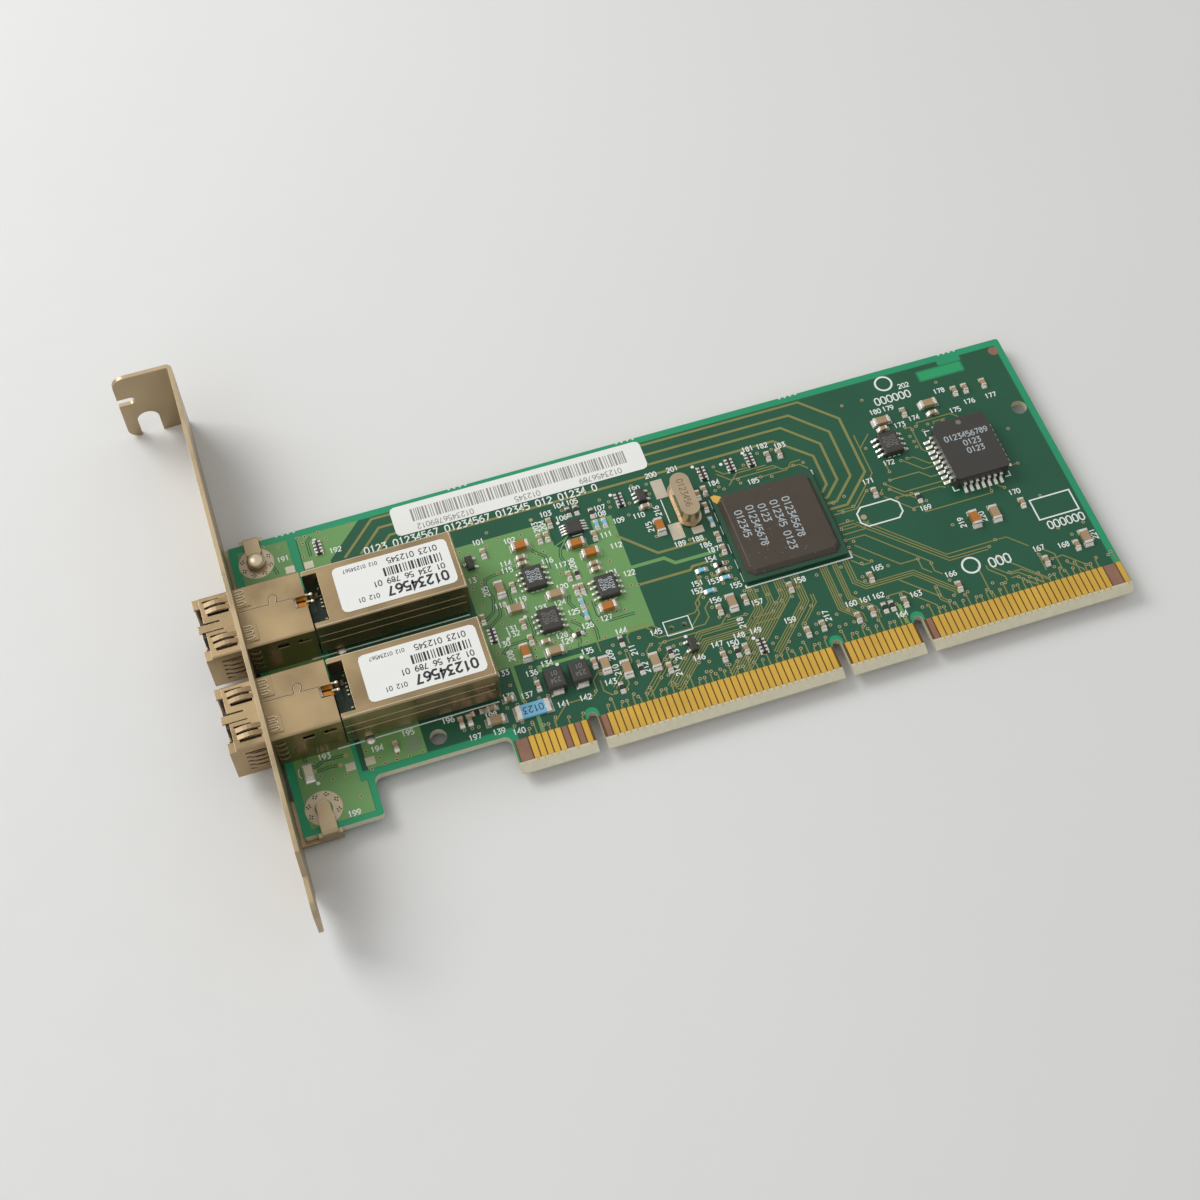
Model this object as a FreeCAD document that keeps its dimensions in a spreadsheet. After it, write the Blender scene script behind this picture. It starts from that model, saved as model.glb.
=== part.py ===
import FreeCAD, Part
import math
import os

import Sketcher

# A two port fibre network card with its slot bracket, in millimetres.
# The origin is at key slot 1, on the contact edge, on the component face of the board.
# X runs along the card away from the bracket, Y from the contact edge to the top edge,
# and Z out of the component face.

# Each row is: name of the size, its value, what it measures.
SIZES = [
    ("contact_pitch", 1.27, "step from one edge contact to the next"),
    ("end_margin", 0.65, "from the last contact's middle to the end of the tongue"),
    ("contact_width", 1.02, "width of one edge contact"),
    ("contact_length", 4.6, "length of the full width of an edge contact"),
    ("contact_top_y", 6.7, "height of the upper ends of the edge contacts"),
    ("plating", 0.05, "thickness of the contact plating"),
    ("board_thickness", 1.57, "thickness of the board"),
    ("board_length", 163.1, "length of the board"),
    ("board_height", 64.4, "height of the board"),
    ("board_start", 41.8, "from contact 1 back to the edge of the board at the bracket"),
    ("board_corner", 0.6, "radius of the outer corners of the board"),
    ("lug_width", 14.9, "width of the lug below the bracket end"),
    ("recess_height", 8.0, "height of the recess between lug and tongue"),
    ("recess_corner", 1.4, "radius of the recess corners"),
    ("tongue_margin", 1.05, "from the first contact to the end of the tongue"),
    ("tongue_corner", 0.9, "radius of the tongue corners"),
    ("key_width", 1.8, "width of the key slots"),
    ("key_depth", 7.9, "depth of the key slots"),
    ("bevel_height", 1.7, "height of the bevel on the tongue"),
    ("bevel_depth", 0.6, "depth of the bevel on each face"),
    ("tooling_hole", 3.18, "diameter of the tooling holes"),
    ("header_hole", 1.0, "diameter of the two header holes"),
    ("ring_hole", 3.3, "diameter of the two bracket holes"),
    ("ring_from_edge", 4.8, "from the board's end to the bracket holes"),
    ("ring_inset", 5.0, "from the top and bottom edges to the bracket holes"),
    ("bite_diameter", 0.6, "diameter of one bite left by the panel tabs"),
    ("bite_step", 1.15, "step between the bites of a tab"),
    ("tab_step", 35.0, "step between the panel tabs"),
    ("sheet", 0.86, "thickness of the bracket sheet"),
    ("bracket_gap", 0.7, "gap between board and bracket plate"),
    ("bracket_height", 120.02, "overall height of the bracket"),
    ("foot_drop", 19.32, "from the contact edge down to the bracket's foot"),
    ("bracket_width", 18.42, "width of the bracket plate"),
    ("bracket_below", 3.42, "from the component face down to the plate's side edge"),
    ("foot_width", 10.19, "width of the bracket's foot"),
    ("foot_length", 7.1, "length of the narrow foot"),
    ("foot_taper", 3.0, "length of the taper above the foot"),
    ("foot_corner", 2.2, "radius of the foot's corners"),
    ("tab_reach", 11.43, "reach of the screw tab"),
    ("tab_corner", 2.5, "radius of the screw tab's corners"),
    ("bend_radius", 1.25, "outer radius of the bracket's bends"),
    ("screw_notch", 4.42, "width of the screw notch"),
    ("screw_notch_reach", 4.74, "from the tab's end to the middle of the screw notch"),
    ("screw_notch_top", 3.4, "top of the screw notch's arch above the component face"),
    ("tab_slot_width", 2.0, "width of the slot in the screw tab"),
    ("tab_slot_length", 3.4, "length of the slot in the screw tab"),
    ("tab_slot_z", 7.9, "height of the slot's middle line"),
    ("clip_shoulder", 4.5, "width of the clips where they pass the board's edge"),
    ("clip_tongue", 3.0, "width of the clip tongues"),
    ("clip_peg", 2.6, "diameter of the clip ends in the bracket holes"),
    ("clip_dome", 3.6, "diameter of the button that fixes the upper clip"),
    ("clip_dome_height", 1.4, "height of the button above the board"),
    ("flange_length", 12.0, "length of the flanges below the board"),
    ("window_width", 14.0, "width of the bracket's port windows"),
    ("window_top", 10.3, "height of the port windows' upper edges"),
    ("window_corner", 0.3, "chamfer of the port windows' corners"),
    ("light_window", 2.4, "side of the windows for the port lights"),
    ("port_1_v", 35.3, "middle of the upper transceiver above the contacts"),
    ("port_2_v", 15.5, "middle of the lower transceiver above the contacts"),
    ("cage_width", 13.5, "width of a transceiver cage"),
    ("cage_height", 9.8, "height of a transceiver"),
    ("cage_sheet", 0.35, "thickness of the cage and can sheet"),
    ("cage_front", 50.2, "from contact 1 back to the front of the cages"),
    ("cage_rear", 29.8, "from contact 1 back to the rear of the cages"),
    ("panel_setback", 1.2, "setback of the cage's spring panels from its front"),
    ("centre_lug", 2.1, "width of the lug between a cage's spring panels"),
    ("corner_lug", 1.7, "width of the lugs in a cage's front corners"),
    ("corner_lug_length", 1.5, "length of the lugs in a cage's front corners"),
    ("corner_lug_height", 0.45, "thickness of the lugs in a cage's front corners"),
    ("cage_slot", 0.5, "width of the slots in the cage"),
    ("cage_slot_length", 3.7, "length of the slots in the cage's sides"),
    ("flex_notch", 2.4, "width of the notch over the flexible strip"),
    ("flex_notch_depth", 2.3, "depth of the notch over the flexible strip"),
    ("can_width", 13.1, "width of a transceiver's rear can"),
    ("can_rear", 0.4, "from contact 1 back to the rear of the cans"),
    ("can_top_front", 26.7, "from contact 1 back to the front of the cans' tops"),
    ("can_side_front", 29.5, "from contact 1 back to the front of the cans' sides"),
    ("can_bottom", 1.0, "height of the cans' lower edges"),
    ("can_rim", 1.2, "width of the rims beside the opening in a can's top"),
    ("port_pitch", 6.25, "step between the two ports of a transceiver"),
    ("port_width", 4.7, "width of one port"),
    ("port_bottom", 1.6, "height of a port's lower face"),
    ("port_height", 5.0, "height of a port"),
    ("latch_width", 2.5, "width of the latch channel over a port"),
    ("port_depth", 9.6, "depth of a port"),
    ("receptacle_rear", 39.0, "from contact 1 back to the rear of the receptacle"),
    ("receptacle_setback", 0.5, "setback of the receptacle from the cage's front"),
    ("sleeve_diameter", 2.5, "diameter of the ferrule sleeve in a port"),
    ("sleeve_length", 4.6, "length of the ferrule sleeve"),
    ("barrel_diameter", 5.2, "diameter of the optical barrels"),
    ("base_top", 4.0, "height of the moulded base's upper face"),
    ("inner_board", 0.8, "thickness of the small board in a can"),
    ("controller_u", 61.7, "from contact 1 to the controller's middle"),
    ("controller_v", 28.35, "from the contacts up to the controller's middle"),
    ("controller_side", 21.0, "side of the controller's base"),
    ("controller_ball", 0.5, "height of the controller's solder balls"),
    ("controller_base", 0.6, "thickness of the controller's base"),
    ("mould_foot", 19.4, "side of the mould cap at its foot"),
    ("mould_top", 17.7, "side of the mould cap's top"),
    ("mould_height", 1.1, "height of the mould cap"),
    ("mould_chamfer", 1.4, "chamfer of the mould cap's corners"),
    ("flash_u", 103.65, "from contact 1 to the memory chip's middle"),
    ("flash_v", 32.6, "from the contacts up to the memory chip's middle"),
    ("flash_width", 11.43, "width of the memory chip"),
    ("flash_length", 13.97, "length of the memory chip"),
    ("flash_bottom", 0.6, "height of the memory chip's lower face"),
    ("flash_top", 3.3, "height of the memory chip's upper face"),
    ("crystal_width", 3.85, "width of the crystal can"),
    ("crystal_length", 10.2, "length of the crystal can"),
    ("crystal_top", 4.0, "height of the crystal can's top"),
    ("crystal_flange", 0.42, "reach of the crystal's flange beyond its can"),
    ("label_before", 9.5, "from contact 1 back to the near end of the board's label"),
    ("label_after", 42.4, "from contact 1 to the far end of the board's label"),
    ("label_low", 49.9, "from the contacts up to the label's lower edge"),
    ("label_high", 56.8, "from the contacts up to the label's upper edge"),
    ("paper", 0.1, "thickness of the paper labels"),
]


class Size:
    """A length that carries both its value and the sheet expression behind it."""

    def __init__(self, text, value):
        self.text = text
        self.value = value

    @staticmethod
    def of(number):
        """Return the number as a Size; a Size is returned as it is."""
        if isinstance(number, Size):
            return number
        return Size("(%r)" % float(number), float(number))

    def __add__(self, other):
        other = Size.of(other)
        return Size("(%s + %s)" % (self.text, other.text), self.value + other.value)

    def __sub__(self, other):
        other = Size.of(other)
        return Size("(%s - %s)" % (self.text, other.text), self.value - other.value)

    def __mul__(self, other):
        other = Size.of(other)
        return Size("(%s * %s)" % (self.text, other.text), self.value * other.value)

    def __truediv__(self, other):
        other = Size.of(other)
        return Size("(%s / %s)" % (self.text, other.text), self.value / other.value)

    def __neg__(self):
        return Size("(-1 * %s)" % self.text, -self.value)

    def __radd__(self, other):
        return Size.of(other) + self

    def __rsub__(self, other):
        return Size.of(other) - self

    def __rmul__(self, other):
        return Size.of(other) * self


def write_sheet(document):
    """Write every driving size to the document's sheet and return them by name."""
    sheet = document.addObject("Spreadsheet::Sheet", "Sizes")
    sizes = {}
    for number, (name, value, meaning) in enumerate(SIZES, start=1):
        sheet.set("A%d" % number, meaning)
        sheet.set("B%d" % number, "%r" % value)
        sheet.setAlias("B%d" % number, name)
        sizes[name] = Size("Sizes.%s" % name, value)
    document.recompute()
    return sizes


doc = FreeCAD.newDocument("network_card")
size = write_sheet(doc)
nodes = []

# ---------------------------------------------------------------- shared places

# The first and the last contact lie 95 steps apart; the third key takes two of them.
CONTACT_STEPS = 95
contact_span = size["board_length"] - size["board_start"] - size["end_margin"]
spread = contact_span / (size["contact_pitch"] * CONTACT_STEPS)
pitch = size["contact_pitch"] * spread
contact_1_x = pitch * -11.5
sheet = size["sheet"]
board_bottom = -size["board_thickness"]
board_left = contact_1_x - size["board_start"]
board_right = board_left + size["board_length"]
board_top = size["board_height"]
tongue_left = contact_1_x - size["tongue_margin"]
lug_right = board_left + size["lug_width"]
key_middles = [pitch * 0, pitch * 38, pitch * 51]
ring_x = board_left + size["ring_from_edge"]
ring_places = [(ring_x, size["ring_inset"] - 0.4), (ring_x, board_top - size["ring_inset"])]
plate_inside = board_left - size["bracket_gap"]
plate_outside = plate_inside - sheet
plate_low = -size["bracket_below"]
plate_high = plate_low + size["bracket_width"]
plate_middle = (plate_low + plate_high) / 2
foot_y = -size["foot_drop"]
plate_top = foot_y + size["bracket_height"]
tab_end = plate_outside - size["tab_reach"]


def along(distance):
    """Return the X of a place measured from the first contact.

    Places beyond the first contact spread with the row of contacts.
    """
    distance = Size.of(distance)
    if distance.value > 0:
        distance = distance * spread
    return contact_1_x + distance


def above(distance):
    """Return the Y of a place measured from the upper ends of the contacts."""
    return size["contact_top_y"] + distance


# ---------------------------------------------------------------- drawing helpers

PLANES = {"xy": "XY_Plane", "xz": "XZ_Plane", "yz": "YZ_Plane"}


def new_body(name):
    """Start a body that becomes one node."""
    body = doc.addObject("PartDesign::Body", name)
    body.Label = name
    nodes.append(body)
    return body


def new_sketch(body, plane, offset):
    """Attach a sketch to one of the body's own planes, moved along its normal."""
    sketch = body.newObject("Sketcher::SketchObject", "outline")
    for feature in body.Origin.OriginFeatures:
        if feature.Role == PLANES[plane]:
            sketch.AttachmentSupport = (feature, [""])
    sketch.MapMode = "FlatFace"
    sketch.AttachmentOffset = FreeCAD.Placement(FreeCAD.Vector(0, 0, offset.value), FreeCAD.Rotation())
    sketch.setExpression("AttachmentOffset.Base.z", offset.text)
    return sketch


def pin_point(sketch, element, point, across, up):
    """Tie one point of a sketch to the sheet."""
    for kind, place in (("DistanceX", across), ("DistanceY", up)):
        rule = Sketcher.Constraint(kind, -1, 1, element, point, place.value)
        number = sketch.addConstraint(rule)
        sketch.setExpression("Constraints[%d]" % number, place.text)


def draw_outline(sketch, corners):
    """Draw a closed outline of straight lines through the corners."""
    corners = [(Size.of(across), Size.of(up)) for across, up in corners]
    first = sketch.GeometryCount
    points = [FreeCAD.Vector(across.value, up.value, 0) for across, up in corners]
    for number, point in enumerate(points):
        following = points[(number + 1) % len(points)]
        sketch.addGeometry(Part.LineSegment(point, following))
    for number in range(len(points)):
        following = first + (number + 1) % len(points)
        sketch.addConstraint(Sketcher.Constraint("Coincident", first + number, 2, following, 1))
    for number, (across, up) in enumerate(corners):
        pin_point(sketch, first + number, 1, across, up)


def draw_circle(sketch, across, up, diameter):
    """Draw a circle whose middle and diameter follow the sheet."""
    across = Size.of(across)
    up = Size.of(up)
    middle = FreeCAD.Vector(across.value, up.value, 0)
    circle = Part.Circle(middle, FreeCAD.Vector(0, 0, 1), diameter.value / 2)
    element = sketch.addGeometry(circle)
    pin_point(sketch, element, 3, across, up)
    number = sketch.addConstraint(Sketcher.Constraint("Radius", element, diameter.value / 2))
    sketch.setExpression("Constraints[%d]" % number, "%s / 2" % diameter.text)


def extrude(body, kind, plane, low, high, outlines=(), circles=()):
    """Add or cut the outlines between two places along the plane's axis.

    The xz plane's normal points down the Y axis, so its sketch starts at the far end.
    """
    low = Size.of(low)
    high = Size.of(high)
    start = -high if plane == "xz" else low
    sketch = new_sketch(body, plane, start)
    for corners in outlines:
        draw_outline(sketch, corners)
    for across, up, diameter in circles:
        draw_circle(sketch, across, up, diameter)
    feature = body.newObject("PartDesign::" + kind, kind.lower())
    feature.Profile = sketch
    feature.setExpression("Length", (high - low).text)
    feature.Length = high.value - low.value
    if kind == "Pocket":
        feature.Reversed = True
    sketch.Visibility = False
    body.Tip = feature
    doc.recompute()
    return feature


def rectangle(left, right, bottom, top):
    """Return the corners of an upright rectangle."""
    return [(left, bottom), (right, bottom), (right, top), (left, top)]


def round_edges(body, radius, middles, kind="Fillet"):
    """Round or chamfer the edges whose middle points lie at the given places."""
    wanted = []
    before = body.Tip
    shape = before.Shape
    for place in middles:
        goal = FreeCAD.Vector(*[Size.of(value).value for value in place])
        nearest = None
        for number, edge in enumerate(shape.Edges, start=1):
            middle = edge.valueAt((edge.FirstParameter + edge.LastParameter) / 2)
            reach = (middle - goal).Length
            if nearest is None or reach < nearest[0]:
                nearest = (reach, number)
        if nearest[0] > 0.3:
            raise ValueError("no edge near %s on %s" % (goal, body.Label))
        wanted.append("Edge%d" % nearest[1])
    feature = body.newObject("PartDesign::" + kind, kind.lower())
    feature.Base = (before, wanted)
    name = "Radius" if kind == "Fillet" else "Size"
    setattr(feature, name, Size.of(radius).value)
    feature.setExpression(name, Size.of(radius).text)
    body.Tip = feature
    doc.recompute()
    return feature


def round_rims(body, radius, place):
    """Round the closed circular edge that passes through the given place."""
    goal = FreeCAD.Vector(*[Size.of(value).value for value in place])
    before = body.Tip
    wanted = None
    for number, edge in enumerate(before.Shape.Edges, start=1):
        reach = edge.distToShape(Part.Vertex(goal))[0]
        if reach < 0.01 and edge.Closed:
            wanted = number
    feature = body.newObject("PartDesign::Fillet", "fillet")
    feature.Base = (before, ["Edge%d" % wanted])
    feature.Radius = Size.of(radius).value
    feature.setExpression("Radius", Size.of(radius).text)
    body.Tip = feature
    doc.recompute()


def corner_middles(corners, plane, low, high):
    """Return the middle points of the edges that stand on the corners."""
    middle = (Size.of(low) + Size.of(high)) / 2
    if plane == "xy":
        return [(across, up, middle) for across, up in corners]
    if plane == "xz":
        return [(across, middle, up) for across, up in corners]
    return [(middle, across, up) for across, up in corners]


# ---------------------------------------------------------------- plain solids

def solid_box(left, right, front, back, low, high):
    """Return a box between three pairs of plain numbers."""
    corner = FreeCAD.Vector(left, front, low)
    return Part.makeBox(right - left, back - front, high - low, corner)


def centred_box(x, y, length, width, low, high):
    """Return a box centred on a place of the board."""
    return solid_box(x - length / 2, x + length / 2, y - width / 2, y + width / 2, low, high)


def strip(points, side, width):
    """Return a bent strip: a closed outline in the XZ plane, extruded along Y.

    points: the outline as (x, z) pairs.
    side: where the strip starts along Y.
    width: how wide the strip is.
    """
    corners = [FreeCAD.Vector(x, side, z) for x, z in points]
    wire = Part.makePolygon(corners + corners[:1])
    return Part.Face(wire).extrude(FreeCAD.Vector(0, width, 0))


def turned(solid, x, y, quarter_turns):
    """Turn a solid made at the origin by quarter turns and move it to its place."""
    solid.rotate(FreeCAD.Vector(0, 0, 0), FreeCAD.Vector(0, 0, 1), 90 * quarter_turns)
    solid.translate(FreeCAD.Vector(x, y, 0))
    return solid


def prism(x, y, radius, low, high, sides):
    """Return an upright prism with the given number of sides."""
    corners = []
    for number in range(sides):
        angle = 2 * math.pi * number / sides
        corners.append(FreeCAD.Vector(x + radius * math.cos(angle), y + radius * math.sin(angle), low))
    wire = Part.makePolygon(corners + corners[:1])
    return Part.Face(wire).extrude(FreeCAD.Vector(0, 0, high - low))


def level_prism(y, z, radius, front, rear, sides):
    """Return a prism that lies along X, with the given number of sides."""
    corners = []
    for number in range(sides):
        angle = 2 * math.pi * (number + 0.5) / sides
        corners.append(FreeCAD.Vector(front, y + radius * math.cos(angle), z + radius * math.sin(angle)))
    wire = Part.makePolygon(corners + corners[:1])
    return Part.Face(wire).extrude(FreeCAD.Vector(rear - front, 0, 0))


def rounded_plate(x, y, length, width, corner, low, high):
    """Return an upright plate whose corners are rounded in two short steps."""
    corners = []
    for quarter, (side, end) in enumerate(((1, 1), (-1, 1), (-1, -1), (1, -1))):
        middle_x = x + side * (length / 2 - corner)
        middle_y = y + end * (width / 2 - corner)
        for step in range(3):
            angle = math.pi / 2 * (quarter + step / 2)
            place = (middle_x + corner * math.cos(angle), middle_y + corner * math.sin(angle))
            corners.append(FreeCAD.Vector(*place, low))
    wire = Part.makePolygon(corners + corners[:1])
    return Part.Face(wire).extrude(FreeCAD.Vector(0, 0, high - low))


def group(name, solids):
    """Make one node from many separate small solids."""
    feature = doc.addObject("Part::Feature", name)
    feature.Label = name
    feature.Shape = Part.makeCompound(solids)
    feature.Placement = FreeCAD.Placement()
    nodes.append(feature)
    return feature


# ---------------------------------------------------------------- circuit board

TOOLING_HOLES = [(-13.6, 5.2), (118.2, 40.0)]
HEADER_HOLES = [(34.5, 13.5), (37.05, 13.5)]
FIRST_TAB = -30.2
BITES_PER_TAB = 4
TABS = 5


def build_board():
    """Build the board with its recess, key slots, bevel, holes and panel tab bites."""
    body = new_body("circuit_board")
    recess = size["recess_height"]
    outline = [(board_left, 0), (lug_right, 0), (lug_right, recess), (tongue_left, recess)]
    outline += [(tongue_left, 0), (board_right, 0), (board_right, board_top), (board_left, board_top)]
    extrude(body, "Pad", "xy", board_bottom, 0, [outline])
    middle = board_bottom / 2
    round_edges(body, size["recess_corner"], [(lug_right, recess, middle), (tongue_left, recess, middle)])
    round_edges(body, size["tongue_corner"], [(tongue_left, 0, middle), (board_right, 0, middle)])
    outer = [(board_left, 0), (lug_right, 0), (board_right, board_top), (board_left, board_top)]
    round_edges(body, size["board_corner"], corner_middles(outer, "xy", board_bottom, 0))

    half = size["key_width"] / 2
    shoulder = size["key_depth"] - half
    slots = [rectangle(x - half, x + half, -1, shoulder) for x in key_middles]
    extrude(body, "Pocket", "xy", board_bottom, 0, slots)
    tops = [(x, shoulder, size["key_width"]) for x in key_middles]
    extrude(body, "Pocket", "xy", board_bottom, 0, circles=tops)

    rise = size["bevel_height"]
    cut = size["bevel_depth"]
    near = [(0, 0), (rise, 0), (0, -cut)]
    far = [(0, board_bottom), (rise, board_bottom), (0, board_bottom + cut)]
    extrude(body, "Pocket", "yz", tongue_left, board_right, [near, far])

    holes = [(along(u), above(v), size["tooling_hole"]) for u, v in TOOLING_HOLES]
    holes += [(along(u), above(v), size["header_hole"]) for u, v in HEADER_HOLES]
    holes += [(x, y, size["ring_hole"]) for x, y in ring_places]
    extrude(body, "Pocket", "xy", board_bottom, 0, circles=holes)

    depth = size["bite_diameter"] / 2
    bottom = board_top - depth
    for tab in range(TABS):
        bites = []
        for bite in range(BITES_PER_TAB):
            x = along(FIRST_TAB + size["tab_step"] * tab) + size["bite_step"] * (bite - 1.5)
            mouth = [(x + depth, board_top + 0.1), (x - depth, board_top + 0.1)]
            bites.append([(x - depth * 0.6, bottom), (x + depth * 0.6, bottom)] + mouth)
        extrude(body, "Pocket", "xy", board_bottom, 0, bites)


# Positions with no contact on the component side, counted from the bracket end.
BLANK_CONTACTS = [1, 2, 8, 10, 14, 63, 92, 93]
KEY_CONTACTS = [12, 13, 50, 51]
LAST_CONTACT = 94
AFTER_THIRD_KEY = 63


def contact_middle(number):
    """Return the X of a contact; the third key takes the room of two contacts."""
    skipped = 2 if number >= AFTER_THIRD_KEY else 0
    return (contact_1_x + pitch * (number - 1 + skipped)).value


def contact_row(name, numbers, face, outward):
    """Lay one row of contacts on a face of the board."""
    top = size["contact_top_y"].value
    bottom = top - size["contact_length"].value
    low, high = sorted((face, face + outward * size["plating"].value))
    width = size["contact_width"].value
    solids = []
    for number in numbers:
        x = contact_middle(number)
        solids.append(solid_box(x - width / 2, x + width / 2, bottom, top, low, high))
    group(name, solids)


def build_contacts():
    """Lay the contacts on both faces of the tongue."""
    solder_side = [n for n in range(1, LAST_CONTACT + 1) if n not in KEY_CONTACTS]
    component_side = [n for n in solder_side if n not in BLANK_CONTACTS]
    contact_row("component_contacts", component_side, 0.0, 1)
    contact_row("solder_contacts", solder_side, board_bottom.value, -1)


# ---------------------------------------------------------------- bracket

def build_bracket():
    """Build the bracket: plate, foot, screw tab, windows and the two board clips."""
    body = new_body("mounting_bracket")
    profile = [(plate_inside, foot_y), (plate_inside, plate_top), (tab_end, plate_top)]
    profile += [(tab_end, plate_top - sheet), (plate_outside, plate_top - sheet), (plate_outside, foot_y)]
    extrude(body, "Pad", "xy", plate_low, plate_high, [profile])
    round_edges(body, size["bend_radius"], [(plate_inside, plate_top, plate_middle)])
    inner_bend = (plate_outside, plate_top - sheet, plate_middle)
    round_edges(body, size["bend_radius"] - sheet, [inner_bend])

    half_foot = size["foot_width"] / 2
    narrow = foot_y + size["foot_length"]
    full = narrow + size["foot_taper"]
    left = plate_middle - half_foot
    right = plate_middle + half_foot
    below = [(foot_y - 1, plate_low - 1), (full, plate_low - 1), (full, plate_low), (narrow, left)]
    below += [(foot_y - 1, left)]
    over = [(foot_y - 1, plate_high + 1), (full, plate_high + 1), (full, plate_high), (narrow, right)]
    over += [(foot_y - 1, right)]
    extrude(body, "Pocket", "yz", plate_outside, plate_inside, [below, over])
    foot_corners = corner_middles([(foot_y, left), (foot_y, right)], "yz", plate_outside, plate_inside)
    round_edges(body, size["foot_corner"], foot_corners)
    tab_corners = [(tab_end, plate_low), (tab_end, plate_high)]
    round_edges(body, size["tab_corner"], corner_middles(tab_corners, "xz", plate_top - sheet, plate_top))

    notch_x = tab_end + size["screw_notch_reach"]
    notch_half = size["screw_notch"] / 2
    arch = size["screw_notch_top"] - notch_half
    mouth = rectangle(notch_x - notch_half, notch_x + notch_half, plate_low - 1, arch)
    slot_z = size["tab_slot_z"]
    slot_half = size["tab_slot_width"] / 2
    slot_end = tab_end + size["tab_slot_length"] - slot_half
    slot = rectangle(tab_end - 1, slot_end, slot_z - slot_half, slot_z + slot_half)
    extrude(body, "Pocket", "xz", plate_top - sheet, plate_top, [mouth, slot])
    ends = [(notch_x, arch, size["screw_notch"]), (slot_end, slot_z, size["tab_slot_width"])]
    extrude(body, "Pocket", "xz", plate_top - sheet, plate_top, circles=ends)

    windows = []
    half_window = size["window_width"] / 2
    for name in ("port_1_v", "port_2_v"):
        middle = above(size[name])
        windows.append(rectangle(middle - half_window, middle + half_window, -0.2, size["window_top"]))
    corners = [corner for window in windows for corner in window]
    half_light = size["light_window"] / 2
    for v in LIGHT_PLACES:
        middle = above(v)
        windows.append(rectangle(middle - half_light, middle + half_light, 0.3, 0.3 + size["light_window"]))
    extrude(body, "Pocket", "yz", plate_outside, plate_inside, windows)
    corners = corner_middles(corners, "yz", plate_outside, plate_inside)
    round_edges(body, size["window_corner"], corners, "Chamfer")

    shoulder_half = size["clip_shoulder"] / 2
    tongue_half = size["clip_tongue"] / 2
    peg_half = size["clip_peg"] / 2
    flange_low = board_bottom - sheet
    clips = [(0, -sheet, size["flange_length"] * 0.7), (board_top, board_top + sheet, -size["flange_length"])]
    for (edge, outside, reach), (hole_x, hole_y) in zip(clips, ring_places):
        inner = hole_y + (edge - hole_y) * 0.38
        flange = rectangle(plate_inside, hole_x + shoulder_half, edge + reach, outside)
        extrude(body, "Pad", "xy", flange_low, board_bottom, [flange])
        wall = rectangle(hole_x - shoulder_half, hole_x + shoulder_half, edge, outside)
        extrude(body, "Pad", "xy", board_bottom, 0, [wall])
        tongue = rectangle(hole_x - tongue_half, hole_x + tongue_half, inner, outside)
        extrude(body, "Pad", "xy", 0, sheet, [tongue])
        neck = rectangle(hole_x - peg_half, hole_x + peg_half, hole_y, inner)
        extrude(body, "Pad", "xy", 0, sheet, [neck])
        extrude(body, "Pad", "xy", -1.1, sheet, circles=[(hole_x, hole_y, size["clip_peg"])])
        round_edges(body, sheet * 0.8, [(hole_x, outside, sheet)])
    button = (ring_x, ring_places[1][1], size["clip_dome"])
    extrude(body, "Pad", "xy", 0, size["clip_dome_height"], circles=[button])
    rim = (ring_x + size["clip_dome"] / 2, ring_places[1][1], size["clip_dome_height"])
    round_rims(body, (size["clip_dome_height"] - sheet) * 0.9, rim)


# ---------------------------------------------------------------- transceivers

LIGHT_PLACES = [5.5, 25.5]

# Each slot in a cage's top: place beside the middle line, start and end behind the
# front, and width. Every spring panel has three, longer towards the panel's lower edge.
TOP_SLOTS = [(5.6, 1.8, 5.0, 0.4), (4.15, 2.0, 6.0, 0.5), (2.65, 2.3, 6.3, 0.6),
             (-2.05, 1.8, 5.0, 0.4), (-3.5, 2.0, 6.0, 0.5), (-5.0, 2.3, 6.3, 0.6)]
# The slits beside the lug between the panels: edge beside the middle line, width, length.
LUG_SLITS = [(1.05, 0.32, 4.2), (-0.85, 0.2, 4.6)]
SIDE_SLOT_HEIGHTS = [1.8, 3.3, 4.8, 6.3, 7.8]


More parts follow.
